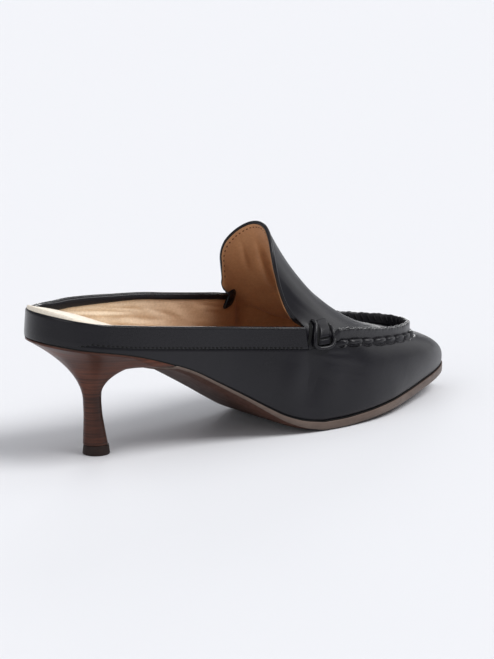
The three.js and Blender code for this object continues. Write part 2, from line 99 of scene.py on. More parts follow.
def unit(v):
    return v / np.maximum(np.linalg.norm(v, axis=-1, keepdims=True), 1e-12)


def rounded(t):
    """A quarter circle from 0 at t = 0 to 1 at t = 1, flat beyond."""
    return np.sqrt(np.clip(1 - (1 - np.clip(t, 0, 1)) ** 2, 0, 1))


def bell(x, width):
    """A bell of height 1 and half width about width."""
    return np.exp(-((x / width) ** 2))


def through(rows, key=1, over=None):
    """A monotone curve through a table: the rows' value number key over their first
    value, or over a function of it, with no overshoot between the rows."""
    table = np.array(rows, float)
    xs, ys = table[:, 0], table[:, key]
    xs = over(xs) if over else xs
    chord = np.diff(ys) / np.diff(xs)
    slope = np.empty(len(xs))
    slope[0], slope[-1] = chord[0], chord[-1]
    for i in range(1, len(xs) - 1):
        before, after = chord[i - 1], chord[i]
        slope[i] = 0 if before * after <= 0 else 2 * before * after / (before + after)

    def at(x):
        x = np.clip(np.asarray(x, float), xs[0], xs[-1])
        i = np.clip(np.searchsorted(xs, x, side="left") - 1, 0, len(xs) - 2)
        span = xs[i + 1] - xs[i]
        t = (x - xs[i]) / span
        bend = slope[i] * span * t * (1 - t) ** 2 - slope[i + 1] * span * t * t * (1 - t)
        return ys[i] + (ys[i + 1] - ys[i]) * t * t * (3 - 2 * t) + bend

    return at


class Path:
    """A centripetal Catmull-Rom curve through points, measured along its length."""

    def __init__(self, points, fine=40):
        p = np.array(points, float)
        ends = [2 * p[0] - p[1], *p, 2 * p[-1] - p[-2]]
        t = np.linspace(0, 1, fine, endpoint=False)[:, None]
        samples = []
        for i in range(len(p) - 1):
            a, b, c, d = ends[i : i + 4]
            steps = [max(np.linalg.norm(q - r) ** 0.5, 1e-4) for q, r in ((b, a), (c, b), (d, c))]
            before, here, after = steps
            m1 = ((b - a) / before - (c - a) / (before + here) + (c - b) / here) * here
            m2 = ((c - b) / here - (d - b) / (here + after) + (d - c) / after) * here
            h = (2 * b - 2 * c + m1 + m2) * t**3 + (-3 * b + 3 * c - 2 * m1 - m2) * t**2
            samples.append(h + m1 * t + b)
        self.points = np.vstack([*samples, p[-1:]])
        steps = np.linalg.norm(np.diff(self.points, axis=0), axis=1)
        self.along = np.concatenate([[0], np.cumsum(steps)])
        self.length = self.along[-1]

    def at(self, u):
        s = np.clip(np.asarray(u, float), 0, 1) * self.length
        return np.stack([np.interp(s, self.along, self.points[:, k]) for k in range(3)], -1)

    def tangent(self, u):
        return unit(self.at(np.asarray(u) + 2e-3) - self.at(np.asarray(u) - 2e-3))


# ---- the sole line and the outline ----
# along, height as a share of the seat's, and the sole's thickness
ARCH = [
    (0, 0.964, 2.0), (11, 0.927, 2.0), (20, 0.899, 2.1), (35, 0.834, 2.3), (50, 0.744, 2.4),
    (65, 0.632, 2.8), (80, 0.479, 3.3), (95, 0.321, 3.7), (107, 0.191, 3.9), (117, 0.092, 4.1),
    (126, 0.034, 4.2), (TREAD_START, 0, 4.2),
]
arch_rise = through(ARCH, 1)
sole_thickness = through(ARCH, 2)


def sole_bottom(x):
    x = np.asarray(x, float)
    forward = np.clip((x - TREAD_END) / (LENGTH - TREAD_END), 0, 1)
    return np.where(x < TREAD_START, SEAT_HEIGHT * arch_rise(x), TOE_SPRING * forward**1.2)


def sole_top(x):
    return sole_bottom(x) + sole_thickness(x)


def feather(x):
    return sole_top(x) + GAP


# along, lateral and medial half widths as shares of the ball's half width
OUTLINE = [
    (0, 0, 0), (2.5, 0.310, 0.310), (9, 0.570, 0.565), (22, 0.765, 0.745), (40, 0.800, 0.735),
    (60, 0.790, 0.675), (85, 0.775, 0.600), (110, 0.840, 0.650), (130, 0.930, 0.800),
    (147, 0.965, 0.960), (163, 0.945, 1.020), (179, 0.860, 0.965), (195, 0.690, 0.800),
    (210, 0.500, 0.610), (223, 0.325, 0.450), (232, 0.165, 0.305), (236.5, 0.050, 0.180),
    (LENGTH, -0.060, 0.060),
]


def turn(x):
    return np.arccos(np.clip(1 - 2 * np.asarray(x, float) / LENGTH, -1, 1))


lateral_share = through(OUTLINE, 1, turn)
medial_share = through(OUTLINE, 2, turn)


def outline_y(x, side):
    """side is -1 on the lateral side and +1 on the medial side."""
    return BALL_HALF * np.where(np.asarray(side) < 0, -lateral_share(turn(x)), medial_share(turn(x)))


def feather_path(from_x, from_side, over_x):
    i = np.arange(-60, 61)
    side = np.where(i < 0, from_side, -from_side)
    x = mix(over_x, from_x, np.sin(np.abs(i) / 60 * math.pi / 2) ** 2)
    return Path(np.stack([x, outline_y(x, side), feather(x)], -1))


# ---- topline, tongue edge and apron seam ----
# along, height of the lateral rim, and how much higher the medial one is
TOPLINE = [
    (0, 68.5, 0), (9, 66.4, 0.4), (25, 63.6, 2.4), (36, 61.8, 4.5), (56, 58.8, 6.6),
    (78, 55.6, 8.2), (112, 51.1, 8.0), (CORNER_ALONG, 49.2, 6.6),
]
# along, and how far the wall leans in at the top
LEAN = [(0, 0.8), (45, 0.9), (95, 1.2), (CORNER_ALONG, 2.0)]
TONGUE = [
    (124.6, 26.8, 53.8), (121.2, 24.2, 60.0), (118.8, 22.2, 68.0), (117.6, 20.8, 76.0),
    (118.2, 18.2, 83.0), (120.9, 13.0, 89.2), (123.7, 6.2, 93.4), (124.6, 0.0, 94.5),
]
APRON = [
    (136.0, 32.4, 41.2), (144.0, 32.4, 42.2), (156.0, 30.8, 40.8), (168.0, 28.0, 38.4),
    (179.0, 24.6, 36.4), (190.0, 20.4, 34.8), (200.0, 15.2, 33.7), (207.6, 8.4, 33.2),
    (210.2, 0.0, 33.0),
]
topline_height = through(TOPLINE, 1)
medial_extra = through(TOPLINE, 2)
wall_lean = through(LEAN, 1)


def topline(x, side):
    return topline_height(x) + np.where(np.asarray(side) > 0, medial_extra(x), 0)


def wall_point(foot_x, side, share):
    x = foot_x * mix(1, CORNER_ALONG / CORNER_FOOT, share)
    inward = wall_lean(x) * share * share
    y = outline_y(x, side) * (1 - inward / SEAT_RADIUS)
    height = mix(feather(foot_x), topline(x, side), share)
    return np.stack(np.broadcast_arrays(x + inward * np.clip(1 - x / SEAT_RADIUS, 0, 1), y, height), -1)


def seam_share(foot_x, side):
    return 1 - BAND_HEIGHT / (topline(foot_x, side) - feather(foot_x))


def both_sides(rows, share):
    corner = {side: wall_point(CORNER_FOOT, side, share(side)) for side in (-1, 1)}
    lateral = [(x, -y, z) for x, y, z in rows]
    lift = corner[1][2] - corner[-1][2]
    medial = []
    for x, y, z in rows[-2::-1]:
        near = np.clip(1 - abs(x - CORNER_ALONG) / CORNER_REACH, 0, 1)
        low = np.clip(1 - (z - corner[-1][2]) / CORNER_RISE, 0, 1)
        medial.append((x, y - MEDIAL_PULL * near * low, z + lift * near * low))
    return Path([corner[-1], *lateral, *medial, corner[1]])


tongue_edge = both_sides(TONGUE, lambda side: 1.0)
apron_seam = both_sides(APRON, lambda side: seam_share(CORNER_FOOT, side))
vamp_feather = feather_path(CORNER_FOOT, -1, LENGTH)
quarter_feather = feather_path(CORNER_FOOT, 1, 0)

# ---- the upper's surface ----
# turn, and the handles of each vamp rib, in the order of RIB_KEYS
RIB = [
    (0.0, 1.6, 11.4, 1.0, 11.4, 0, 3, 0, 3),
    (0.16, 3.4, 13, 2.6, 9.0, 3, 5, 2, 6),
    (0.4, 4.6, 12, 6.0, 8.0, 16, 4, 10, 13),
    (0.7, 4.2, 10, 12, 6.0, 24, 4, 19, 30),
    (1.0, 0.8, 9, 17.5, 5.3, 28, 4, 27, 48),
]
RIB_KEYS = ("out", "up", "over", "under", "back", "rise", "fore", "fall")
rib = {key: through(RIB, i + 1) for i, key in enumerate(RIB_KEYS)}


def outward(path, u):
    t = path.tangent(u)
    return unit(np.stack([t[:, 1], -t[:, 0], np.zeros(len(t))], -1))


def vamp_ribs(u):
    """Control points (8, n, 3) of the vamp's ribs at u, lateral corner to medial."""
    turned = 1 - np.abs(2 * u - 1)
    foot, seam, edge = vamp_feather.at(u), apron_seam.at(u), tongue_edge.at(u)
    out = outward(vamp_feather, u)
    up = np.array([0, 0, 1.0])
    low = foot + out * rib["out"](turned)[:, None] + up * rib["up"](turned)[:, None]
    high = seam + out * rib["over"](turned)[:, None] - up * rib["under"](turned)[:, None]
    free = smooth(turned, 0, 0.16)[:, None]
    none = np.zeros_like(u)
    rising = seam + np.stack([-rib["back"](turned), none, rib["rise"](turned)], -1)
    fullness = SIDE_FULLNESS * np.sin(math.pi * (2 * u - 1))
    falling = edge + np.stack([rib["fore"](turned), fullness, -rib["fall"](turned)], -1)
    start = mix(mix(seam, edge, 1 / 3), rising, free)
    end = mix(mix(seam, edge, 2 / 3), falling, free)
    return np.stack([foot, low, high, seam, seam, start, end, edge])


def quarter_ribs(u):
    """The same for the low wall, medial corner round the heel to the lateral one."""
    foot = quarter_feather.at(u)
    side = np.where(foot[:, 1] > 0, 1, -1)
    share = seam_share(foot[:, 0], side)
    seam, edge = wall_point(foot[:, 0], side, share), wall_point(foot[:, 0], side, 1.0)
    bulge = smooth(foot[:, 0], 45, CORNER_FOOT)[:, None]
    out = outward(quarter_feather, u)
    low = foot + out * bulge * rib["out"](0)
    high = seam + out * bulge * rib["over"](0)
    low[:, 2] = mix(foot[:, 2], seam[:, 2], 1 / 3)
    high[:, 2] = mix(foot[:, 2], seam[:, 2], 2 / 3)
    return np.stack([foot, low, high, seam, seam, mix(seam, edge, 1 / 3), mix(seam, edge, 2 / 3), edge])


def bezier(p, t):
    s = 1 - t
    return p[0] * s**3 + p[1] * 3 * s * s * t + p[2] * 3 * s * t * t + p[3] * t**3


class Skin:
    """The upper at chosen places round the shoe. ring runs 0..1 over the vamp and 1..2
    over the quarters; v runs from the feather line (0) over the seam (1) to the top (2)."""

    def __init__(self, ring, closed=False):
        self.ring, self.closed = np.asarray(ring, float), closed
        on_vamp = self.ring < 1
        ribs = np.empty((8, len(self.ring), 3))
        if on_vamp.any():
            ribs[:, on_vamp] = vamp_ribs(self.ring[on_vamp])
        if (~on_vamp).any():
            ribs[:, ~on_vamp] = quarter_ribs(self.ring[~on_vamp] - 1)
        self.ribs = ribs

    def rows(self, v):
        """v as (rows, places), from a list of rows or as it is."""
        v = np.asarray(v, float)
        return np.repeat(v[:, None], len(self.ring), 1) if v.ndim == 1 else v

    def at(self, v):
        """Points (rows, places, 3) at v, a list of rows or an array (rows, places)."""
        v = self.rows(v)
        low = bezier(self.ribs[:4], np.clip(v, 0, 1)[:, :, None])
        high = bezier(self.ribs[4:], np.clip(v - 1, 0, 1)[:, :, None])
        return np.where(v[:, :, None] <= 1, low, high)

    def normals(self, v):
        v = self.rows(v)
        across = self.at(np.minimum(v + 0.02, 2)) - self.at(np.maximum(v - 0.02, 0))
        here = self.at(v)
        if self.closed:
            along = np.roll(here, -1, 1) - np.roll(here, 1, 1)
        else:
            along = np.gradient(here, axis=1)
        return unit(np.cross(along, across))

    def from_corner(self):
        """How far the top edge lies from the nearer end of the tongue's edge, in mm."""
        edge = self.at([2.0])[0]
        ends = (tongue_edge.at([u])[0] for u in (0, 1))
        return np.minimum(*(np.linalg.norm(edge - end, axis=1) for end in ends))


CALMED = 11.0  # mm round each corner over which normals are evened out


def calm_normals(part, v):
    """Normals that don't twist where the tongue's edge turns into the topline."""
    share = bell(part.from_corner(), CALMED)[None] * smooth(part.rows(v), 1.0, 1.4)
    return unit(mix(part.normals(v), part.normals([1.0]), share[:, :, None]))


# ---- meshes ----
WELD = 1e-6  # metres


def put(name, data):
    """A new object in the scene."""
    thing = bpy.data.objects.new(name, data)
    bpy.context.scene.collection.objects.link(thing)
    return thing


def grid_faces(rows, cols, close_rows=False, close_cols=False):
    r = np.arange(rows if close_rows else rows - 1)
    c = np.arange(cols if close_cols else cols - 1)
    r, c = np.meshgrid(r, c, indexing="ij")
    r2, c2 = (r + 1) % rows, (c + 1) % cols
    quads = np.stack([r * cols + c, r * cols + c2, r2 * cols + c2, r2 * cols + c], -1)
    return quads.reshape(-1, 4)


def volume(points, faces):
    """Six times the volume inside the faces, negative where they point inwards."""
    total = 0.0
    for corners in {len(face) for face in faces}:
        face = np.array([f for f in faces if len(f) == corners])
        first = points[face[:, 0]]
        for i in range(1, corners - 1):
            total += np.sum(first * np.cross(points[face[:, i]], points[face[:, i + 1]]))
    return total


def make_mesh(name, points, faces, material):
    """A solid with its faces turned outwards and its collapsed ends joined up."""
    points = place(points).reshape(-1, 3)
    faces = [list(map(int, face)) for face in faces]
    if volume(points, faces) < 0:
        faces = [face[::-1] for face in faces]
    mesh = bpy.data.meshes.new(name)
    mesh.from_pydata(points.tolist(), [], faces)
    mesh.validate()
    work = bmesh.new()
    work.from_mesh(mesh)
    bmesh.ops.remove_doubles(work, verts=work.verts, dist=WELD)
    work.to_mesh(mesh)
    work.free()
    mesh.shade_smooth()
    mesh.materials.append(material)
    piece = put(name, mesh)
    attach(piece, "root")
    return piece


def closed_grid(name, points, material):
    """A solid from a torus of points (rows, cols, 3), closed both ways."""
    rows, cols = points.shape[:2]
    return make_mesh(name, points, grid_faces(rows, cols, True, True), material)


def closed_loops(name, loops, material):
    """A solid from closed loops of points; the first and the last have no area."""
    points = np.stack(loops)
    return make_mesh(name, points, grid_faces(*points.shape[:2], False, True), material)


def open_ring(name, points, material):
    """A solid strip: rows close on themselves, and the two end columns are capped."""
    rows, cols = points.shape[:2]
    faces = grid_faces(rows, cols, True, False)
    first = [r * cols for r in range(rows)]
    last = [r * cols + cols - 1 for r in range(rows)]
    return make_mesh(name, points, [*faces, first, last[::-1]], material)


def sweep_points(centres, across, up, profile, scale=None):
    """profile is a closed list of (across, up) in mm; returns (profile, along, 3)."""
    profile = np.array(profile, float)
    scale = np.ones(len(centres)) if scale is None else scale
    a = profile[:, 0][:, None, None] * (scale[:, None] * across)[None]
    b = profile[:, 1][:, None, None] * (scale[:, None] * up)[None]
    return centres[None] + a + b


def round_profile(half_wide, half_high, count=12):
    angle = np.linspace(0, 2 * math.pi, count, endpoint=False)
    return np.stack([half_wide * np.cos(angle), half_high * np.sin(angle)], -1)


def threads(name, centres, along, normals, length, radius, material, sides=6):
    """Short stitches: rounded rods lying along a seam."""
    steps = np.array([-1.0, -0.86, -0.5, 0.5, 0.86, 1.0])
    size = np.array([0.25, 0.72, 1.0, 1.0, 0.72, 0.25])
    sag = np.array([-0.8, -0.25, 0.0, 0.0, -0.25, -0.8])
    angle = np.linspace(0, 2 * math.pi, sides, endpoint=False)
    centres, along, normals = (np.asarray(a, float) for a in (centres, along, normals))
    side = unit(np.cross(along, normals))
    points, faces = [], []
    for k in range(len(centres)):
        base = k * sides * len(steps)
        for s, w, d in zip(steps, size, sag):
            middle = centres[k] + along[k] * s * length / 2 + normals[k] * d * radius
            ring = np.cos(angle)[:, None] * side[k] + np.sin(angle)[:, None] * normals[k]
            points.append(middle + ring * radius * w)
        for j in range(len(steps) - 1):
            for i in range(sides):
                a, b = base + j * sides + i, base + j * sides + (i + 1) % sides
                faces.append([a, b, b + sides, a + sides])
        faces.append([base + i for i in range(sides)][::-1])
        faces.append([base + (len(steps) - 1) * sides + i for i in range(sides)])
    return make_mesh(name, np.vstack(points), faces, material)


# ---- materials ----
class Paint:
    """A Principled material and short words for its nodes."""

    def __init__(self, name, colour, roughness, **sockets):
        self.material = bpy.data.materials.new(name)
        self.material.use_nodes = True
        self.tree = self.material.node_tree
        self.shader = self.tree.nodes["Principled BSDF"]
        self.set("Base Color", (*colour, 1))
        self.set("Roughness", roughness)
        for key, value in sockets.items():
            self.set(key.replace("_", " "), value)
        self.where = self.add("ShaderNodeTexCoord").outputs["Object"]

    def set(self, socket, value):
        self.shader.inputs[socket].default_value = value

    def add(self, kind, **values):
        node = self.tree.nodes.new(kind)
        for key, value in values.items():
            if key in node.inputs:
                node.inputs[key].default_value = value
            else:
                setattr(node, key, value)
        return node

    def link(self, a, b):
        self.tree.links.new(a, b)

    def stretched(self, x, y, z):
        node = self.add("ShaderNodeMapping")
        node.inputs["Scale"].default_value = (x, y, z)
        self.link(self.where, node.inputs["Vector"])
        return node.outputs["Vector"]

    def noise(self, scale, detail=3, where=None, roughness=0.55):
        node = self.add("ShaderNodeTexNoise", Scale=scale, Detail=detail, Roughness=roughness)
        self.link(where or self.where, node.inputs["Vector"])
        return node.outputs["Fac"]

    def cells(self, scale, where=None, feature="F1"):
        node = self.add("ShaderNodeTexVoronoi", Scale=scale)
        node.feature = feature
        self.link(where or self.where, node.inputs["Vector"])
        return node.outputs["Distance"]

    def ranged(self, value, low, high, to_low=0.0, to_high=1.0):
        node = self.add("ShaderNodeMapRange")
        ends = {"From Min": low, "From Max": high, "To Min": to_low, "To Max": to_high}
        for key, number in ends.items():
            node.inputs[key].default_value = number
        self.link(value, node.inputs["Value"])
        return node.outputs["Result"]

    def maths(self, how, a, b):
        node = self.add("ShaderNodeMath", operation=how)
        for socket, value in zip(node.inputs, (a, b)):
            if isinstance(value, (int, float)):
                socket.default_value = value
            else:
                self.link(value, socket)
        return node.outputs["Value"]

    def blended(self, share, a, b, how="MIX"):
        node = self.add("ShaderNodeMix", data_type="RGBA", blend_type=how)
        factor, first, second = node.inputs[0], node.inputs[6], node.inputs[7]
        for socket, value in ((factor, share), (first, a), (second, b)):
            if isinstance(value, tuple):
                socket.default_value = (*value, 1)
            elif isinstance(value, (int, float)):
                socket.default_value = value
            else:
                self.link(value, socket)
        return node.outputs[2]

    def colour(self, value):
        self.link(value, self.shader.inputs["Base Color"])

    def roughness(self, value):
        self.link(value, self.shader.inputs["Roughness"])

    def bump(self, *layers):
        """Each layer is (height output, depth in mm)."""
        previous = None
        for value, depth in layers:
            node = self.add("ShaderNodeBump", Strength=1.0, Distance=depth / MM_PER_METRE)
            self.link(value, node.inputs["Height"])
            if previous is not None:
                self.link(previous, node.inputs["Normal"])
            previous = node.outputs["Normal"]
        self.link(previous, self.shader.inputs["Normal"])


def calf(name, colour=(0.0048, 0.0044, 0.0066), roughness=0.32):
    paint = Paint(name, colour, roughness, Specular_IOR_Level=0.32)
    broad = paint.noise(28, 4)
    grain = paint.cells(1500, feature="DISTANCE_TO_EDGE")
    pores = paint.noise(2600, 2)
    creased = paint.noise(240, 5, paint.stretched(1, 0.5, 2.2), 0.65)
    lighter = tuple(1.5 * c for c in colour)
    paint.colour(paint.blended(paint.ranged(broad, 0.35, 0.7), colour, lighter))
    worn = paint.maths("MULTIPLY", paint.ranged(broad, 0.3, 0.7, 0.85, 1.15), roughness)
    paint.roughness(paint.maths("ADD", worn, paint.ranged(pores, 0.3, 0.7, -0.03, 0.05)))
    paint.bump((creased, 0.05), (grain, 0.018), (pores, 0.012))
    return paint.material


def lining(name, colour, light, crease=0.35, paler=None):
    """paler is (from x, to x, colour): the paler tone the leather fades to towards the heel, which
    paints light on the lit heel end and shade on the fore part.
    """
    paint = Paint(name, colour, 0.62, Specular_IOR_Level=0.35, Sheen_Weight=0.12)
    broad = paint.noise(35, 4)
    fibres = paint.noise(900, 4)
    pores = paint.cells(1300)
    wrinkled = paint.noise(130, 4, paint.stretched(1, 1, 2.4), 0.6)
    tone = paint.blended(paint.ranged(broad, 0.35, 0.68), colour, light)
    if paler:
        low, high = (place([x, 0, 0])[0] for x in paler[:2])
        across = paint.add("ShaderNodeSeparateXYZ")
        paint.link(paint.where, across.inputs[0])
        tone = paint.blended(paint.ranged(across.outputs["X"], low, high), paler[2], tone)
    worn = tuple(0.55 * c for c in colour)
    paint.colour(paint.blended(paint.ranged(fibres, 0.35, 0.75, 0.0, 0.25), tone, worn))
    paint.roughness(paint.ranged(fibres, 0.3, 0.7, 0.55, 0.72))
    paint.bump((wrinkled, crease), (fibres, 0.03), (pores, 0.02))
    return paint.material


def stacked(name):
    """Dark stained lifts: thin level layers with long fine streaks along them."""
    base, deep, warm = (0.062, 0.021, 0.012), (0.022, 0.008, 0.005), (0.150, 0.047, 0.025)
    paint = Paint(name, base, 0.36, Specular_IOR_Level=0.24, Coat_Weight=0.05, Coat_Roughness=0.25)
    streaks = paint.noise(60, 6, paint.stretched(1, 1, 16), 0.7)
    layers = paint.noise(260, 3, paint.stretched(0.05, 0.05, 5), 0.6)
    broad = paint.noise(32, 3)
    tone = paint.blended(paint.ranged(streaks, 0.36, 0.66), base, warm)
    tone = paint.blended(paint.ranged(layers, 0.50, 0.60, 0.0, 0.6), tone, deep)
    paint.colour(paint.blended(paint.ranged(broad, 0.42, 0.70, 0.0, 0.7), tone, deep))
    paint.roughness(paint.ranged(streaks, 0.3, 0.7, 0.28, 0.44))
    paint.bump((layers, 0.03), (streaks, 0.02))
    return paint.material


def sole_leather(name, colour, light, roughness, streak=0.5):
    paint = Paint(name, colour, roughness, Specular_IOR_Level=0.18, Coat_Weight=0.02, Coat_Roughness=0.3)
    fibres = paint.noise(420, 5, paint.stretched(0.25, 1, 1), 0.65)
    broad = paint.noise(22, 4)
    tone = paint.blended(paint.ranged(broad, 0.35, 0.7), colour, light)
    stained = tuple(0.4 * c for c in colour)
    paint.colour(paint.blended(paint.ranged(fibres, 0.4, 0.75, 0.0, streak), tone, stained))
    paint.roughness(paint.ranged(fibres, 0.3, 0.7, roughness - 0.07, roughness + 0.1))
    paint.bump((fibres, 0.03), (broad, 0.1))
    return paint.material


def plain(name, colour, roughness, grain=900, depth=0.03):
    paint = Paint(name, colour, roughness, Specular_IOR_Level=0.28)
    value = paint.noise(grain, 3)
    paint.colour(paint.blended(paint.ranged(value, 0.3, 0.7), colour, tuple(0.6 * c for c in colour)))
    paint.bump((value, depth))
    return paint.material


BLACK = calf("calf")
BAND = calf("calf_band", (0.0042, 0.0038, 0.0058), 0.28)
EDGE = calf("calf_edge", (0.0062, 0.0057, 0.0078), 0.29)
# The lining turns paler towards the heel: painted light, as the same tan leather is lit there and shaded
# forward.
LINING_LIT_TOWARDS_HEEL = (52, 120, (0.93, 0.76, 0.56))
TAN = lining("lining_tan", (0.46, 0.215, 0.095), (0.58, 0.30, 0.145), 0.35, LINING_LIT_TOWARDS_HEEL)
# The sock fades from cream at the heel to tan forward: partly its own cream, partly painted shade on the
# fore part.
CREAM = lining("sock_cream", (0.70, 0.50, 0.33), (0.78, 0.58, 0.40), 0.22, (12, 75, (0.90, 0.82, 0.69)))
STACK = stacked("stacked_heel")
# The underside is dark partly in the sole's own tone, partly as painted shade, as it faces the shaded
# floor under the waist.
UNDER = sole_leather("sole_under", (0.045, 0.017, 0.010), (0.075, 0.030, 0.018), 0.60)
# The edge is lighter and glossier than the underside: partly its own finish, partly a painted reflection
# of the lit floor.
WELT = sole_leather("sole_edge", (0.105, 0.074, 0.060), (0.160, 0.120, 0.100), 0.36, 0.35)
THREAD = plain("thread_black", (0.012, 0.011, 0.013), 0.7, 2500, 0.05)
BROWN_THREAD = plain("thread_brown", (0.10, 0.045, 0.022), 0.75, 2500, 0.05)
RUBBER = plain("top_piece", (0.026, 0.013, 0.010), 0.55, 1200, 0.06)
# Near-black, two uses: painted shade in the tabs' slots and gap, the seam holes and the feather step,
# and the band's dark stitches.
SHADE_AND_THREAD_BLACK = plain("painted_shade_and_black_thread", (0.004, 0.004, 0.004), 0.85)


# ---- creases, given in the shoe's own sizes ----
def dent(points, start, end, width, depth, keys=(0, 2)):
    """Depth in mm of a soft trough (or, if negative, ridge) along a line seen from one
    side: keys says which two of x, y, z the line is given in."""
    p = points[..., list(keys)]
    a, b = np.array(start, float), np.array(end, float)
    along = np.clip(((p - a) @ (b - a)) / ((b - a) @ (b - a)), 0, 1)
    gap_to = np.linalg.norm(p - (a + along[..., None] * (b - a)), axis=-1)
    fade = np.sin(math.pi * np.clip(0.08 + 0.84 * along, 0, 1)) ** 0.7
    return depth * fade * bell(gap_to, width)


def creases(points, lines, keys=(0, 2)):
    return sum(dent(points, *line, keys) for line in lines)


# troughs on the outside of the vamp and quarters, seen from the side: x, z to x, z
SIDE_CREASES = [
    ((127, 12), (133, 36), 6.0, 1.1),
    ((116, 16), (121, 34), 5.0, -0.4),
    ((145, 9), (150, 30), 8.0, 0.6),
    ((137, 33), (158, 27), 1.5, 0.3),
    ((141, 29), (160, 24), 1.3, 0.24),
    ((146, 25), (158, 21), 1.4, 0.2),
    ((139, 36), (151, 34), 1.0, 0.22),
    ((134, 26), (147, 20), 1.6, 0.18),
    ((172, 26), (190, 18), 6.0, 0.25),
    ((60, 44), (108, 26), 6.0, 0.2),
]
# troughs of the apron, seen from above: y, x to y, x
APRON_CREASES = [
    ((2, 172), (-1, 205), 7.0, -0.35),
    ((-17, 150), (-12, 188), 5.0, 0.3),
    ((17, 150), (12, 188), 5.0, 0.3),
    ((-16, 148), (16, 148), 4.0, 0.25),
]
# folds of the tongue's lining, seen from behind: y, z to y, z
TONGUE_FOLDS = [
    ((15.0, 62.0), (6.5, 83.5), 1.15, -1.7),
    ((12.4, 62.0), (4.2, 82.0), 1.0, 0.85),
    ((8.5, 65.0), (-5.0, 81.5), 1.2, -1.7),
    ((6.2, 64.0), (-6.5, 77.0), 1.0, 0.85),
    ((17.5, 70.0), (13.0, 83.0), 0.9, -1.0),
    ((3.0, 63.0), (-9.0, 73.0), 1.2, -1.1),
    ((10.5, 60.0), (1.0, 69.0), 0.9, -0.7),
    ((-1.0, 62.0), (-12.0, 67.0), 1.1, 0.6),
    ((13.0, 46.3), (-11.0, 46.6), 1.2, 0.7),
    ((13.0, 48.4), (-11.0, 49.0), 1.5, -0.9),
    ((20.0, 55.6), (9.0, 53.0), 1.0, 0.6),
    ((20.0, 57.5), (10.0, 57.5), 1.0, 0.5),
    ((-1.0, 86.0), (-12.0, 75.0), 1.7, -0.7),
    ((4.0, 87.5), (-6.0, 90.0), 1.5, -0.5),
    ((1.0, 59.0), (-14.0, 54.0), 2.2, 0.5),
]

# wrinkles of the lining on the inner side's low wall: x, z to x, z
WALL_FOLDS = [
    ((32, 60.6), (66, 56.4), 0.9, 0.55),
    ((34, 59.2), (62, 55.4), 1.0, -0.5),
    ((52, 60.0), (72, 57.0), 0.8, 0.4),
    ((60, 54.5), (84, 50.5), 1.1, 0.5),
    ((58, 52.6), (80, 48.4), 1.1, -0.45),
    ((74, 57.5), (90, 51.0), 1.0, 0.35),
    ((86, 56.0), (98, 48.0), 1.6, -0.35),
    ((104, 55.0), (123, 50.5), 1.0, 0.45),
    ((108, 51.0), (124, 47.0), 1.2, 0.5),
    ((100, 47.5), (122, 43.0), 1.4, -0.4),
]

# ---- the outer leather ----
GATHER_PITCH = 9.2
GATHER_DEPTH = 3.9
LIP_START = 14.0  # from the corner along the seam, both ends
LIP_RAISE = 1.1
BAND_GROOVE = 0.15
BODY_DEEP = 0.95  # how far under the skin the body's inner face lies
COVER_DEEP = 0.9  # the same for the band, the apron and the tongue
VAMP_COLUMNS = 760
QUARTER_COLUMNS = 340

vamp_u = np.arange(VAMP_COLUMNS) / VAMP_COLUMNS
quarter_u = 1 + np.arange(QUARTER_COLUMNS) / QUARTER_COLUMNS
ring = np.concatenate([vamp_u, quarter_u])
skin = Skin(ring, closed=True)
seam_length = apron_seam.length


def lip_growth(u):
    """0 under the tabs, 1 round the apron; u runs over the vamp."""
    along = np.minimum(u, 1 - u) * seam_length
    return np.where((u >= 0) & (u <= 1), smooth(along, LIP_START, LIP_START + 5), 0)


def side_creases(points):
    total = creases(points, SIDE_CREASES)
    return total * (points[..., 1] < 0) + 0.6 * total * (points[..., 1] > 0)


def gathers(u, below):
    """Outward puff in mm of the leather gathered into the seam, below mm under it."""
    along = u * seam_length
    wobble = 0.45 * np.sin(along * 0.37) + 0.3 * np.sin(along * 0.83 + 1.3)
    phase = ((along + wobble + 0.35 * below - LIP_START) / GATHER_PITCH) % 1
    arch = np.sqrt(np.clip(1 - (2 * phase - 1) ** 2, 0, 1))
    reach = GATHER_DEPTH * (0.5 + 0.5 * arch)
    inside = np.clip(1 - below / reach, 0, 1)
    puff = 2.3 * arch**0.8 * np.sin(math.pi * inside**0.7) ** 0.65
    lifted = 0.5 * smooth(inside, 0, 0.3)
    notch = 1.1 * (1 - arch) ** 1.2 * smooth(inside, 0, 0.4)
    slit = 1.3 * bell(below, 0.6)
    shade = 0.5 * arch * bell(below - reach - 0.15, 0.45)
    front = 1 - 0.6 * bell(u - 0.5, 0.13)
    return np.maximum(puff + lifted - notch - slit - shade, -0.85) * lip_growth(u) * front


def outer_body():
    v = np.concatenate([np.linspace(0, 0.80, 30, endpoint=False), np.linspace(0.80, 1, 34), [1.05]])
    points, normals = skin.at(v), skin.normals(v)
    below = np.linalg.norm(points - points[-2:-1], axis=2)
    on_vamp = ring < 1
    lift = np.zeros(below.shape)
    lift[:, on_vamp] = gathers(ring[on_vamp], below[:, on_vamp])
    lift -= side_creases(points)
    near_corner = np.maximum(1 - lip_growth(ring), ring >= 1)
    groove = BAND_GROOVE * bell(below, 0.5)
    lift -= groove * near_corner * smooth(points[-1, :, 0], 2, 10)
    turned_in = 0.9 * np.exp(-v / 0.012)[:, None]
    points = points + normals * (lift - turned_in)[:, :, None]
    points[-1] -= 0.3 * normals[-1]
    inner_v = np.array([1.05, 0.8, 0.6, 0.4, 0.2, 0.0])
    inner = skin.at(inner_v) - BODY_DEEP * skin.normals(inner_v)
    inner[-1, :, 2] = feather(inner[-1, :, 0])
    return closed_grid("vamp_and_quarters", np.concatenate([points, inner]), BLACK)


body = outer_body()


def band_foot(x):
    """Where the band's lower edge lies: on the seam, running down to the sole at the heel."""
    return mix(0.06, 1.02, smooth(x, 2, 15))


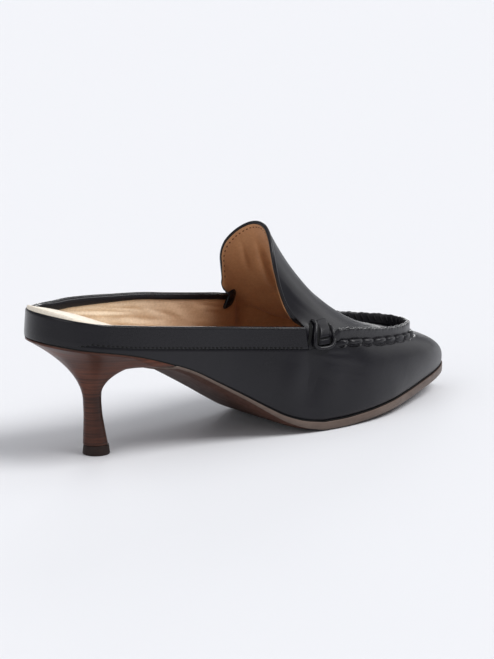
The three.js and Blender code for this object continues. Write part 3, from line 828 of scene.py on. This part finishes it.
def rounded_band(part, v_low, v_high, lift, rows, edge=0.5):
    """Outer rows over a strip of the skin with rolled edges, and its back rows."""
    v = v_low[None] + (v_high - v_low)[None] * np.linspace(0, 1, rows)[:, None]
    points, normals = part.at(v), part.normals(v)
    steps = np.linalg.norm(np.diff(points, axis=0), axis=2)
    at = np.cumsum(np.vstack([np.zeros(points.shape[1]), steps]), 0)
    from_edge = np.minimum(at, at[-1] - at)
    outer = points + normals * (lift * rounded(from_edge / edge))[:, :, None]
    back_v = v_high[None] + (v_low - v_high)[None] * np.linspace(0, 1, 5)[:, None]
    back = part.at(back_v) - COVER_DEEP * part.normals(back_v)
    return outer, back


def top_band():
    part = Skin(np.linspace(1.0, 1.99999, 420))
    foot = band_foot(part.at([1.0])[0, :, 0])
    outer, back = rounded_band(part, foot, np.full_like(foot, 1.985), 0.35, 26)
    return open_ring("top_band", np.concatenate([outer, back]), BAND)


band = top_band()


def apron_and_tongue():
    part = Skin(np.linspace(0.0, 0.99999, 560))
    v = np.concatenate([np.linspace(0.99, 1.10, 8, endpoint=False), np.linspace(1.10, 1.99, 46)])
    points, normals = part.at(v), calm_normals(part, v)
    from_seam = np.linalg.norm(points - part.at([1.0]), axis=2)
    dip = 0.9 * lip_growth(part.ring) * bell(from_seam, 3.5)
    sunk = np.minimum(dip + creases(points, APRON_CREASES, (1, 0)), 0.7)
    outer = points - normals * sunk[:, :, None]
    back_v = np.linspace(1.99, 0.99, 30)
    back = part.at(back_v) - COVER_DEEP * calm_normals(part, back_v)
    return open_ring("apron_and_tongue", np.concatenate([outer, back]), BLACK)


apron = apron_and_tongue()

# ---- the hand-sewn lip round the apron ----
# across and up, from the outside over the two leather edges to the inside
LIP_PROFILE = [
    (1.55, -1.8), (1.60, -0.6), (1.42, 0.7), (1.30, 1.9), (1.22, 2.9), (1.02, 3.55), (0.66, 3.88),
    (0.30, 3.90), (0.10, 3.62), (-0.08, 3.90), (-0.45, 4.10), (-0.85, 3.92), (-1.15, 3.45),
    (-1.30, 2.5), (-1.36, 1.2), (-1.45, 0.0), (-1.55, -1.8),
]


def lip_frame(u):
    part = Skin(u)
    centre = part.at([1.0])[0]
    normal = unit(part.normals([0.9])[0] + part.normals([1.1])[0])
    along = unit(np.gradient(centre, axis=0))
    up = unit(0.45 * normal + np.array([0, 0, 1.0]))
    up = unit(up - along * np.sum(up * along, 1, keepdims=True))
    out = unit(np.cross(along, up))
    return centre + LIP_RAISE * up, out, up, along


def apron_lip():
    start = (LIP_START - 1.0) / seam_length
    u = np.linspace(start, 1 - start, 620)
    centre, out, up, _ = lip_frame(u)
    growth = smooth(np.minimum(u - start, 1 - start - u) * seam_length, 0, 3.0)
    arc = u * seam_length
    tall = mix(0.45, 1.0, growth) * (1 + 0.03 * np.sin(arc * 0.9) + 0.02 * np.sin(arc * 2.1))
    wide = mix(0.7, 1.0, growth)
    points = sweep_points(centre, wide[:, None] * out, tall[:, None] * up, LIP_PROFILE)
    return open_ring("apron_lip", points, EDGE)


lip = apron_lip()


def lip_stitches():
    """Thread over the inner face of the lip, and the painted shade of short holes at the foot outside.
    """
    count = int((seam_length - 2 * LIP_START - 8) / 3.2)
    u = (LIP_START + 4 + 3.2 * np.arange(count)) / seam_length
    centre, out, up, along = lip_frame(u)
    slant = unit(up + 0.45 * along)
    inner = centre - out * 1.42 + up * 1.7
    threads("apron_stitches", inner, slant, -out, 3.3, 0.42, THREAD, sides=8)
    # Painted shade: short near-black rods for the shaded holes at the foot of the lip.
    outer = centre + out * 1.45 - up * 0.55
    return threads("apron_seam_hole_shade", outer, along, out, 1.6, 0.30, SHADE_AND_THREAD_BLACK)


lip_stitches()

# ---- lining ----
LINING_INNER = 2.0
LINING_OUTER = 1.0


def lining_inner(part, v):
    """Inner face of the lining, with its folds."""
    points, normals = part.at(v), calm_normals(part, v)
    fold = creases(points, TONGUE_FOLDS, (1, 2))
    on_vamp = np.minimum(part.ring, 1 - part.ring)
    fold = fold * smooth(points[..., 2], 42, 46) * smooth(on_vamp, 0, 0.04)
    quarter = smooth(-on_vamp, 0, 0.05)
    soft = 0.35 * np.sin(points[..., 0] * 0.21 + 1.1) * np.sin(points[..., 2] * 0.16)
    soft = soft + 0.22 * np.sin(points[..., 0] * 0.47 + points[..., 2] * 0.35)
    from_edge = np.linalg.norm(points - part.at([2.0]), axis=2)
    soft = soft * quarter * smooth(points[..., 0], 30, 60) * smooth(from_edge, 3, 8)
    corner = creases(points, WALL_FOLDS) * (points[..., 1] > 0)
    depth = np.maximum(LINING_INNER - fold - soft - corner, LINING_OUTER + 0.15)
    return points - normals * mix(1.45, depth, rounded(from_edge / 1.1))[:, :, None]


def make_lining():
    places = np.concatenate([np.arange(500) / 500, 1 + np.arange(250) / 250])
    part = Skin(places, closed=True)
    rows = np.concatenate([[2.0, 1.996, 1.99], np.linspace(1.98, 0.0, 84)])
    edge, below = part.at([2.0])[0], part.at([1.97])[0]
    speed = np.linalg.norm(edge - below, axis=1) / 0.03
    top = 2 - (0.45 + 1.7 * bell(part.from_corner(), 8)) / speed
    v = np.minimum(rows[:, None], top[None] - 0.0004 * np.arange(len(rows))[:, None])
    v = np.maximum(v, 0)
    inner = lining_inner(part, v)
    back_v = np.concatenate([np.linspace(0, 1, 8, endpoint=False), np.linspace(1, 1.99, 20)])
    back_v = np.minimum(back_v[:, None], top[None])
    back = part.at(back_v) - LINING_OUTER * calm_normals(part, back_v)
    inner[-1, :, 2] = back[0, :, 2] = feather(back[0, :, 0]) + 0.1
    return closed_grid("lining", np.concatenate([inner, back]), TAN)


tan = make_lining()

# ---- rolled edge of the topline and tongue ----
def rolled_edge():
    places = np.concatenate([np.arange(560) / 560, 1 + np.arange(420) / 420])
    part = Skin(places, closed=True)
    edge, normal = part.at([2.0])[0], calm_normals(part, [1.97])[0]
    up = unit(edge - part.at([1.93])[0])
    bare = 1 - smooth(edge[:, 0], 8, 34) * (part.ring >= 1) - (part.ring < 1)
    centre = edge - normal * 0.72 - up * (0.75 * bare)[:, None]
    profile = [
        (0.84, -1.8), (0.88, -0.9), (0.84, -0.3), (0.64, 0.12), (0.34, 0.34), (0.0, 0.40),
        (-0.34, 0.34), (-0.64, 0.12), (-0.84, -0.3), (-0.88, -0.9), (-0.80, -1.8), (0, -1.6),
    ]
    corner, on_tongue = part.from_corner(), part.ring < 1
    wider = 1 + 0.45 * bell(corner, 9) * on_tongue
    centre = centre - normal * (0.72 * (wider - 1))[:, None]
    centre[:, 0] -= 0.8 * bell(corner, 12) * on_tongue * (edge[:, 1] > 0)
    points = sweep_points(centre, normal, up, profile, wider)
    return closed_grid("rolled_edge", points, EDGE)


edge_roll = rolled_edge()


def inner_facing():
    """The black facing turned in over the quarters' lining."""
    part = Skin(np.linspace(1.0, 1.9999, 420))
    edge = part.at([2.0])[0]
    down = unit(part.at([1.6])[0] - edge)
    normal = calm_normals(part, [1.9])[0]
    ends = np.minimum(part.ring - 1, 2 - part.ring) * 330
    tall = mix(4.2, 2.9, smooth(edge[:, 0], 34, 72)) * smooth(ends, -3, 10)
    base = edge - normal * 2.05
    steps = np.array([0.05, 0.2, 0.45, 0.75, 0.93, 1.0])
    proud = np.array([0.35, 0.6, 0.62, 0.72, 0.6, 0.1])
    run = down[None] * (steps[:, None] * tall[None])[:, :, None]
    face = base[None] + run - normal[None] * proud[:, None, None]
    back = down[None] * (steps[::-1][:, None] * tall[None])[:, :, None]
    hidden = base[None] + back + normal[None] * 0.4
    return open_ring("inner_facing", np.concatenate([face, hidden]), EDGE)


facing = inner_facing()

# ---- stitches ----
STITCH_PITCH = 2.3


def even_places(part, v, pitch, trim=(0, 0)):
    """Places spaced evenly along the line v of a strip, trim mm short of its ends."""
    line = part.at([v])[0]
    steps = np.linalg.norm(np.diff(line, axis=0), axis=1)
    along = np.concatenate([[0], np.cumsum(steps)])
    wanted = np.arange(trim[0], along[-1] - trim[1], pitch)
    return np.interp(wanted, along, part.ring)


def band_stitches():
    fine = Skin(np.linspace(1.0, 1.9999, 1200))
    places = even_places(fine, 1.045, STITCH_PITCH, (2, 2))
    part = Skin(places)
    row = band_foot(part.at([1.0])[0, :, 0])[None] + 0.07
    centre, normal = part.at(row)[0], part.normals(row)[0]
    shown = centre[:, 0] > 9
    along = unit(np.gradient(centre, axis=0))
    spots = centre + normal * 0.42
    return threads("band_stitches", spots[shown], along[shown], normal[shown], 1.35, 0.36, SHADE_AND_THREAD_BLACK)


band_stitches()


def tongue_lining_stitches():
    fine = Skin(np.linspace(0.0, 0.9999, 1500))
    places = even_places(fine, 1.93, STITCH_PITCH, (9, 14))
    part = Skin(places)
    rows = part.at([1.90, 2.0])
    down = unit(rows[0] - rows[1])
    normal = part.normals([1.95])[0]
    centre = rows[1] + down * 2.1 - normal * (LINING_INNER + 0.05)
    along = unit(np.gradient(centre, axis=0))
    return threads("tongue_lining_stitches", centre, along, -normal, 1.1, 0.26, BROWN_THREAD)


tongue_lining_stitches()

# ---- sole ----
def stations(count, start):
    i = np.arange(count + 1)
    return start + (LENGTH - start) / 2 * (1 - np.cos(math.pi * i / count))


def outline_loop(count, inset, start=0.0, half=outline_y):
    xs = stations(count, start)
    lateral = np.stack([xs, half(xs, -1)], -1)
    medial = np.stack([xs[1:-1], half(xs[1:-1], 1)], -1)[::-1]
    loop = np.concatenate([lateral, medial])
    tangent = unit(np.roll(loop, -1, 0) - np.roll(loop, 1, 0))
    inset = np.broadcast_to(inset(loop[:, 0]) if callable(inset) else inset, len(loop))
    return loop + inset[:, None] * np.stack([-tangent[:, 1], tangent[:, 0]], -1)


END_PULL = 9.0  # how far the middle line stops short of both ends


def drawn_in(loop, share):
    """The loop drawn towards its own middle line, by a share of the way."""
    n = len(loop)
    half = n // 2
    opposite = loop[(n - np.arange(n)) % n]
    middles = (loop + opposite) / 2
    first = int(np.argmax(middles[:, 0] > loop[0, 0] + END_PULL))
    last = int(np.argmax(middles[:, 0] > loop[half, 0] - END_PULL)) - 1
    i = np.arange(n)
    rank = np.clip(np.where(i <= half, i, n - i), first, last)
    return mix(loop, middles[rank], share)


def slab(name, loop, rows, material):
    """rows: (share drawn in, height function of x and y)."""
    loops = []
    for share, height in rows:
        flat = drawn_in(loop, share)
        loops.append(np.column_stack([flat, height(flat[:, 0], flat[:, 1])]))
    return closed_loops(name, loops, material)


SOLE_START = 46.0
SOLE_TONGUE = 12.0


def sole_half(x, side):
    narrowed = np.clip((x - SOLE_START) / SOLE_TONGUE, 0, 1)
    return outline_y(x, side) * np.sqrt(narrowed * (2 - narrowed))


def outsole_top(x):
    return np.minimum(sole_top(x), WING_UNDER - GAP)


# place along, and what shows of the sole's edge there: thin at the waist
EDGE_ROWS = [(0, 1.0), (60, 1.1), (95, 1.5), (118, 2.6), (136, 3.5), (200, 3.6), (LENGTH, 3.4)]
edge_height = through(EDGE_ROWS, 1)


def make_sole():
    def under(raised):
        def height(x, _):
            top, thick = outsole_top(x), sole_thickness(x)
            edge_bottom = top - np.minimum(edge_height(x), thick)
            return mix(top - thick, edge_bottom, raised)
        return height

    def down(drop):
        return lambda x, y: outsole_top(x) + 0.15 - drop

    loop = outline_loop(170, -0.55, SOLE_START, sole_half)
    rows = [
        (1, under(0)), (0.6, under(0)), (0.3, under(0)), (0.2, under(0.05)), (0.12, under(0.3)),
        (0.06, under(0.65)), (0.025, under(0.9)),
    ]
    bottom = slab("sole", loop, [
        *rows,
        (0.008, under(1.0)),
        (0.0, lambda x, y: under(1.0)(x, y) + 0.35),
        (-0.004, lambda x, y: mix(under(1.0)(x, y), outsole_top(x), 0.6)),
        (0.0, down(0.28)),
        (0.006, down(0.05)),
        (0.03, down(0.0)),
        (0.3, down(0.0)),
        (1, down(0.0)),
    ], UNDER)
    bottom.data.materials.append(WELT)
    for polygon in bottom.data.polygons:
        x, _, z = np.array(polygon.center) * MM_PER_METRE - SHIFT
        lowest = outsole_top(x) - min(edge_height(x), sole_thickness(x))
        if abs(polygon.normal.z) < 0.75 and z > lowest - 0.02:
            polygon.material_index = 1
    return bottom


sole = make_sole()
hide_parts("outsole")


def feather_shadow():
    """Painted shadow: a dark thread-thin tube along the step where the upper turns in over the sole."""
    xs = LENGTH * (1 - np.cos(np.linspace(0.13, math.pi, 420))) / 2
    lateral = np.stack([xs, outline_y(xs, -1), feather(xs) - 0.1], -1)
    medial = np.stack([xs, outline_y(xs, 1), feather(xs) - 0.1], -1)[::-1]
    loop = np.concatenate([lateral, medial[1:]])
    along = unit(np.roll(loop, -1, 0) - np.roll(loop, 1, 0))
    out = unit(np.cross(along, np.array([0, 0, 1.0])))
    up = np.broadcast_to([0, 0, 1.0], loop.shape)
    points = sweep_points(loop - 0.35 * out, out, up, round_profile(0.45, 0.42, 10))
    return closed_grid("feather_painted_shadow", points, SHADE_AND_THREAD_BLACK)


feather_shadow()

# ---- footbed ----
# along, and how high the footbed lies over the sole line
FOOTBED = [
    (0, 12.6), (10, 12.0), (25, 11.2), (45, 10.0), (65, 9.2), (90, 7.2), (125, 4.6), (170, 3.6),
    (LENGTH, 2.6),
]
footbed_deep = through(FOOTBED, 1)


def footbed_top(x):
    return sole_top(x) + footbed_deep(x)


def make_sock():
    def top(extra, dish=0.0):
        def height(x, y):
            puff = 0.9 * bell(x - 3, 9) + 0.3 * bell(x - 16, 12)
            ripple = 0.16 * np.sin(x * 0.33 + y * 0.12) + 0.12 * np.sin(x * 0.71 - y * 0.21 + 0.8)
            ripple = ripple * smooth(x, 30, 55) * (1 - smooth(x, 110, 130))
            crown = 1.5 * (1 - smooth(x, 26, 62)) * (1 - (y / 24) ** 2)
            return footbed_top(x) + extra + puff + crown - dish * smooth(x, 10, 40) + ripple
        return height

    loop = outline_loop(150, lambda x: mix(0.95, 2.15, smooth(x, 6, 30)))
    return slab("sock", loop, [
        (1, lambda x, y: sole_top(x) + 0.4),
        (0, lambda x, y: sole_top(x) + 0.4),
        (0, top(-1.6)), (0.004, top(-0.8)), (0.02, top(-0.25)), (0.05, top(0.1)), (0.1, top(0.22)),
        (0.2, top(0.1, 0.3)), (0.4, top(0, 0.7)), (0.7, top(0, 0.9)), (1, top(0, 1.0)),
    ], CREAM)


sock = make_sock()
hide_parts("insole")

# ---- heel ----
# height, where its middle lies along the shoe, radius
STEM = [
    (0, 31.9, 6.2), (4.8, 31.5, 5.6), (9, 31.1, 5.1), (14, 30.7, 4.6), (19, 30.3, 4.2),
    (24, 30.0, 4.1),
]
stem_centre = through(STEM, 1)
stem_radius = through(STEM, 2)


def make_heel():
    around = feather_path(BREAST_ALONG, 1, 0.2)
    rim = around.at(np.linspace(0, 1, 200))[:, :2]
    across = np.linspace(0, 1, 44)[1:-1, None]
    breast = mix(rim[-1], rim[0], across)
    breast[:, 0] -= BREAST_HOLLOW * np.sin(math.pi * across[:, 0])
    seat = np.concatenate([rim, breast])
    neck = np.array([float(stem_centre(NECK_HEIGHT)), 0.0])
    ways = unit(seat - neck)
    loops = []

    def stem(height, inset=0.0):
        radius = float(stem_radius(height)) - inset
        flat = np.array([float(stem_centre(height)), 0]) + ways * radius
        return np.column_stack([flat, np.full(len(flat), height)])

    base = TIP_HEIGHT + 0.05
    loops.append(stem(base, float(stem_radius(base))))
    loops.append(stem(base, 0.35))
    loops.append(stem(base + 0.12, 0.1))
    loops.extend(stem(h) for h in np.linspace(base + 0.4, NECK_HEIGHT, 26))
    front = smooth(ways[:, 0], 0.1, 0.75)
    start = neck + ways * float(stem_radius(NECK_HEIGHT))
    top = sole_top(seat[:, 0]) - SEAT_LIP
    for share in np.linspace(0, 1, 60)[1:]:
        flat = mix(start, seat, (share ** mix(2.0, 2.4, front))[:, None])
        flared = mix(NECK_HEIGHT, top, share)
        level = mix(NECK_HEIGHT, WING_UNDER, min(share / WING_REACH, 1) ** 0.8)
        loops.append(np.column_stack([flat, mix(flared, level, front)]))
    for share, drop in ((0, 0.12), (0.004, 0.02), (0.03, 0.0), (0.4, 0.0), (0.7, 0.0), (1, 0.0)):
        flat = mix(seat, neck, share)
        height = np.maximum(sole_top(flat[:, 0]), WING_UNDER + WING_EDGE) - drop
        loops.append(np.column_stack([flat, height]))
    return closed_loops("stacked_heel", loops, STACK)


heel = make_heel()
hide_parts("heel")


def make_tip():
    circle = round_profile(1, 1, 72)
    loops = []
    for height, inset in ((0, 7), (0, 0.5), (0.12, 0.16), (0.45, 0.0), (2.2, 0.0), (4.1, 0.0),
                          (4.38, 0.06), (4.46, 0.3), (4.46, 7)):
        radius = float(stem_radius(height)) - inset
        flat = np.array([STEM_FOOT, 0]) + circle * max(radius, 0)
        loops.append(np.column_stack([flat, np.full(len(circle), height)]))
    return closed_loops("heel_top_piece", loops, RUBBER)


tip = make_tip()
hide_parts("heel_tip")

# ---- side tabs ----
TAB_START, TAB_END = 128.0, 142.0
TAB_BOTTOM, TAB_TOP = 38.6, 51.6
TAB_SLANT = 0.37  # the tab leans to the toe as it goes up
TAB_MEDIAL_LIFT = 6.0
PLATE_STEPS = 26
TUBE_STEPS = 90
TUBE_SCALE = np.array([16.0, 13.0, 1.0])  # patch shares to about mm, for even steps


def tab_patch(side):
    """A smooth patch over the skin where the tab lies: point(a, b, proud)."""
    places = np.linspace(0.0005, 0.16, 70) if side < 0 else np.linspace(0.84, 0.9995, 70)
    strip = Skin(places)
    ring_back = np.linspace(1.93, 1.9999, 40) if side < 0 else np.linspace(1.0001, 1.07, 40)
    behind = Skin(ring_back)
    v = np.linspace(0.5, 1.9, 60)
    cloud = np.concatenate([strip.at(v).reshape(-1, 3), behind.at(v).reshape(-1, 3)])
    lift = TAB_MEDIAL_LIFT if side > 0 else 0.0
    a = (cloud[:, 0] - TAB_START) / (TAB_END - TAB_START)
    b = (cloud[:, 2] - TAB_BOTTOM - lift) / (TAB_TOP - TAB_BOTTOM)
    near = (a > -0.15) & (a < 1.4) & (b > -0.1) & (b < 1.1)
    a, b, y = a[near], b[near], cloud[near, 1]

    def terms(a, b):
        return np.stack([np.ones_like(a), a, b, a * a, a * b, b * b, b**3], -1)

    fit = np.linalg.lstsq(terms(a, b), y, rcond=None)[0]

    def point(a, b, proud):
        a, b, proud = np.broadcast_arrays(*(np.asarray(value, float) for value in (a, b, proud)))

        def base(a, b):
            a = a + TAB_SLANT * (b - 0.1)
            height = mix(TAB_BOTTOM, TAB_TOP, b) + lift
            return np.stack([mix(TAB_START, TAB_END, a), terms(a, b) @ fit, height], -1)

        here = base(a, b)
        da, db = base(a + 1e-3, b) - here, base(a, b + 1e-3) - here
        normal = unit(np.cross(da, db))
        normal = normal * np.where(normal[..., 1:2] * side > 0, 1, -1)
        return here + normal * proud[..., None], normal

    return point


def tube_on(patch, name, path, radius, proud, material):
    a, b = np.array(path, float).T
    line = Path(np.stack([a, b, np.zeros(len(a))], -1) * TUBE_SCALE, fine=10)
    share = np.linspace(0, 1, TUBE_STEPS)
    fine = line.at(share) / TUBE_SCALE
    height = np.interp(share, np.linspace(0, 1, len(proud)), proud)
    centre, normal = patch(fine[:, 0], fine[:, 1], height)
    along = unit(np.gradient(centre, axis=0))
    out = unit(np.cross(along, normal))
    scale = np.maximum(rounded(np.minimum(share, 1 - share) * 12), 0.02**0.5)
    points = sweep_points(centre, out, normal, round_profile(radius, radius, 14), scale)
    return open_ring(name, points, material)


def plate_on(patch, name, a_range, b_range, thick, base, material, edge=0.10, blend=2.0):
    """A thin plate with rounded edges on the patch, sinking into it above height blend."""
    count = PLATE_STEPS
    ga, gb = np.meshgrid(np.linspace(0, 1, count), np.linspace(0, 1, count))
    rim = np.minimum(np.minimum(ga, 1 - ga), np.minimum(gb, 1 - gb))
    height = thick * rounded(rim / edge) * (1 - smooth(mix(*b_range, gb), blend, blend + 0.3))
    top, _ = patch(mix(*a_range, ga), mix(*b_range, gb), base + height)
    low, _ = patch(mix(*a_range, ga), mix(*b_range, gb), base - 0.6)
    n = count * count
    faces = [list(f) for f in grid_faces(count, count)]
    faces += [[i + n for i in f[::-1]] for f in grid_faces(count, count)]
    border = [r * count for r in range(count)][::-1] + list(range(1, count))
    border += [r * count + count - 1 for r in range(1, count)]
    border += [(count - 1) * count + c for c in range(count - 2, 0, -1)]
    for i, here in enumerate(border):
        after = border[(i + 1) % len(border)]
        faces.append([after, here, here + n, after + n])
    return make_mesh(name, np.concatenate([top.reshape(-1, 3), low.reshape(-1, 3)]), faces, material)


def make_tab(side, word):
    patch = tab_patch(side)
    # Painted shade: a near-black plate under the piping and strap, which shows as the dark slots between
    # them.
    base = plate_on(patch, f"tab_{word}_base", (0.18, 0.86), (0.12, 0.80), 0.3, 0.05, SHADE_AND_THREAD_BLACK)
    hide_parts(f"tab_{word}")
    loop = [(0.03, 1.00), (0.11, 0.93), (0.17, 0.84), (0.14, 0.69), (0.125, 0.52), (0.16, 0.34),
            (0.23, 0.18), (0.39, 0.075), (0.62, 0.045), (0.83, 0.07), (0.935, 0.18), (0.93, 0.38),
            (0.91, 0.58), (0.89, 0.74)]
    fade = np.array([0.5, 0.9, 1.05, 1.1, 1.1, 1.1, 1.1, 1.05, 1.05, 1.0, 0.95, 0.7, 0.4, 0.0])
    tube_on(patch, f"tab_{word}_piping", loop, 0.92, fade, EDGE)
    name = f"tab_{word}"
    strap = plate_on(patch, f"{name}_strap", (0.325, 0.77), (0.375, 0.95), 1.0, 0.1, BLACK, 0.16, 0.6)
    foot = plate_on(patch, f"{name}_foot", (0.34, 0.79), (0.145, 0.345), 0.8, 0.1, BLACK, 0.2)
    # Painted shadow: a thin dark strip in the gap where the quarter's rim runs under the tab.
    painted_gap_shadow = plate_on(patch, f"{name}_gap", (-0.07, 0.05), (0.13, 0.92), 0.12, 0.08, SHADE_AND_THREAD_BLACK, 0.3)


make_tab(-1, "lateral")
make_tab(1, "medial")


LEAF_MIDDLE = np.array([125.2, 54.6])  # x, z
LEAF_WAY = (8.0, 7.8)
LEAF_HALF, LEAF_WIDE = 6.2, 2.6
# size and how proud, from the hidden back over the rim to the middle of the face
LEAF_ROWS = [
    (0, -0.7), (1.0, -0.7), (1.0, 0.35), (0.97, 0.75), (0.88, 1.0), (0.6, 1.12), (0.3, 1.15), (0, 1.15),
]


def inner_patch():
    """The dark leaf of leather sewn inside the medial corner."""
    places = np.concatenate([np.linspace(0.90, 0.99999, 90), np.linspace(1.0, 1.10, 90)])
    part = Skin(places)
    inner = lining_inner(part, np.linspace(0.9, 1.98, 90))
    cloud = inner.reshape(-1, 3)
    cloud = cloud[np.linalg.norm(cloud[:, [0, 2]] - LEAF_MIDDLE, axis=1) < 8]

    def terms(x, z):
        x, z = x - LEAF_MIDDLE[0], z - LEAF_MIDDLE[1]
        return np.stack([np.ones_like(x), x, z, x * x, x * z, z * z], -1)

    fit = np.linalg.lstsq(terms(cloud[:, 0], cloud[:, 2]), cloud[:, 1], rcond=None)[0]
    way = unit(np.array(LEAF_WAY))
    aside = np.array([way[1], -way[0]])
    angle = np.linspace(0, 2 * math.pi, 48, endpoint=False)
    slim = 1 - 0.35 * np.cos(angle) ** 2
    rows = []
    for size, proud in LEAF_ROWS:
        across = LEAF_WIDE * (np.sin(angle) * slim)[:, None] * aside
        flat = LEAF_MIDDLE + size * (LEAF_HALF * np.cos(angle)[:, None] * way + across)
        tilted = (proud > 0) * (0.7 + 0.7 * size * np.cos(angle))
        y = terms(flat[:, 0], flat[:, 1]) @ fit - proud - tilted
        rows.append(np.column_stack([flat[:, 0], y, flat[:, 1]]))
    return closed_loops("inner_patch", rows, EDGE)


inner_patch()

# ---- what is left of the CAD ----
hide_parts("upper")

# ---- floor, lights and camera ----
CAMERA_AT = (-676.4, -1007.8, 332.1)
AIM_AT = (119.0, 2.0, 44.0)
LENS = 156.0


def look(thing, target):
    way = Vector(place(target).tolist()) - thing.location
    thing.rotation_euler = way.to_track_quat("-Z", "Y").to_euler()


def make_stage():
    floor_paint = Paint("floor", (0.80, 0.805, 0.83), 0.9, Specular_IOR_Level=0.0)
    mesh = bpy.data.meshes.new("floor")
    size = 8.0
    corners = [(-size, -size, 0), (size, -size, 0), (size, size, 0), (-size, size, 0)]
    mesh.from_pydata(corners, [], [(0, 1, 2, 3)])
    mesh.materials.append(floor_paint.material)
    floor = put("floor", mesh)
    world = bpy.data.worlds.new("studio")
    bpy.context.scene.world = world
    world.use_nodes = True
    sky = world.node_tree.nodes["Background"]
    sky.inputs["Color"].default_value = (0.92, 0.94, 1.0, 1)
    sky.inputs["Strength"].default_value = 0.29
    bpy.context.scene.view_settings.view_transform = "Standard"


def sun(name, way, angle, strength):
    """A soft light without an end, so that the floor is lit evenly; way points to it."""
    light = bpy.data.lights.new(name, "SUN")
    light.angle = math.radians(angle)
    light.energy = strength
    put(name, light).rotation_euler = (-Vector(way)).to_track_quat("-Z", "Y").to_euler()


make_stage()
# name, where the light comes from, its width in degrees and its strength
LIGHTS = [
    ("key", (0.42, -0.62, 1.0), 34, 2.15),
    ("overhead", (0.0, 0.2, 1.0), 60, 0.35),
    ("heel_side", (-0.9, -0.2, 0.6), 45, 0.6),
    ("toe_side", (1.0, 0.0, 0.45), 50, 0.4),
    ("behind", (0.62, 0.75, 0.26), 20, 0.6),
]
for light in LIGHTS:
    sun(*light)

camera = put("camera", bpy.data.cameras.new("camera"))
camera.location = Vector(place(CAMERA_AT).tolist())
camera.data.lens = LENS
camera.data.clip_end = 50
look(camera, AIM_AT)
bpy.context.scene.camera = camera
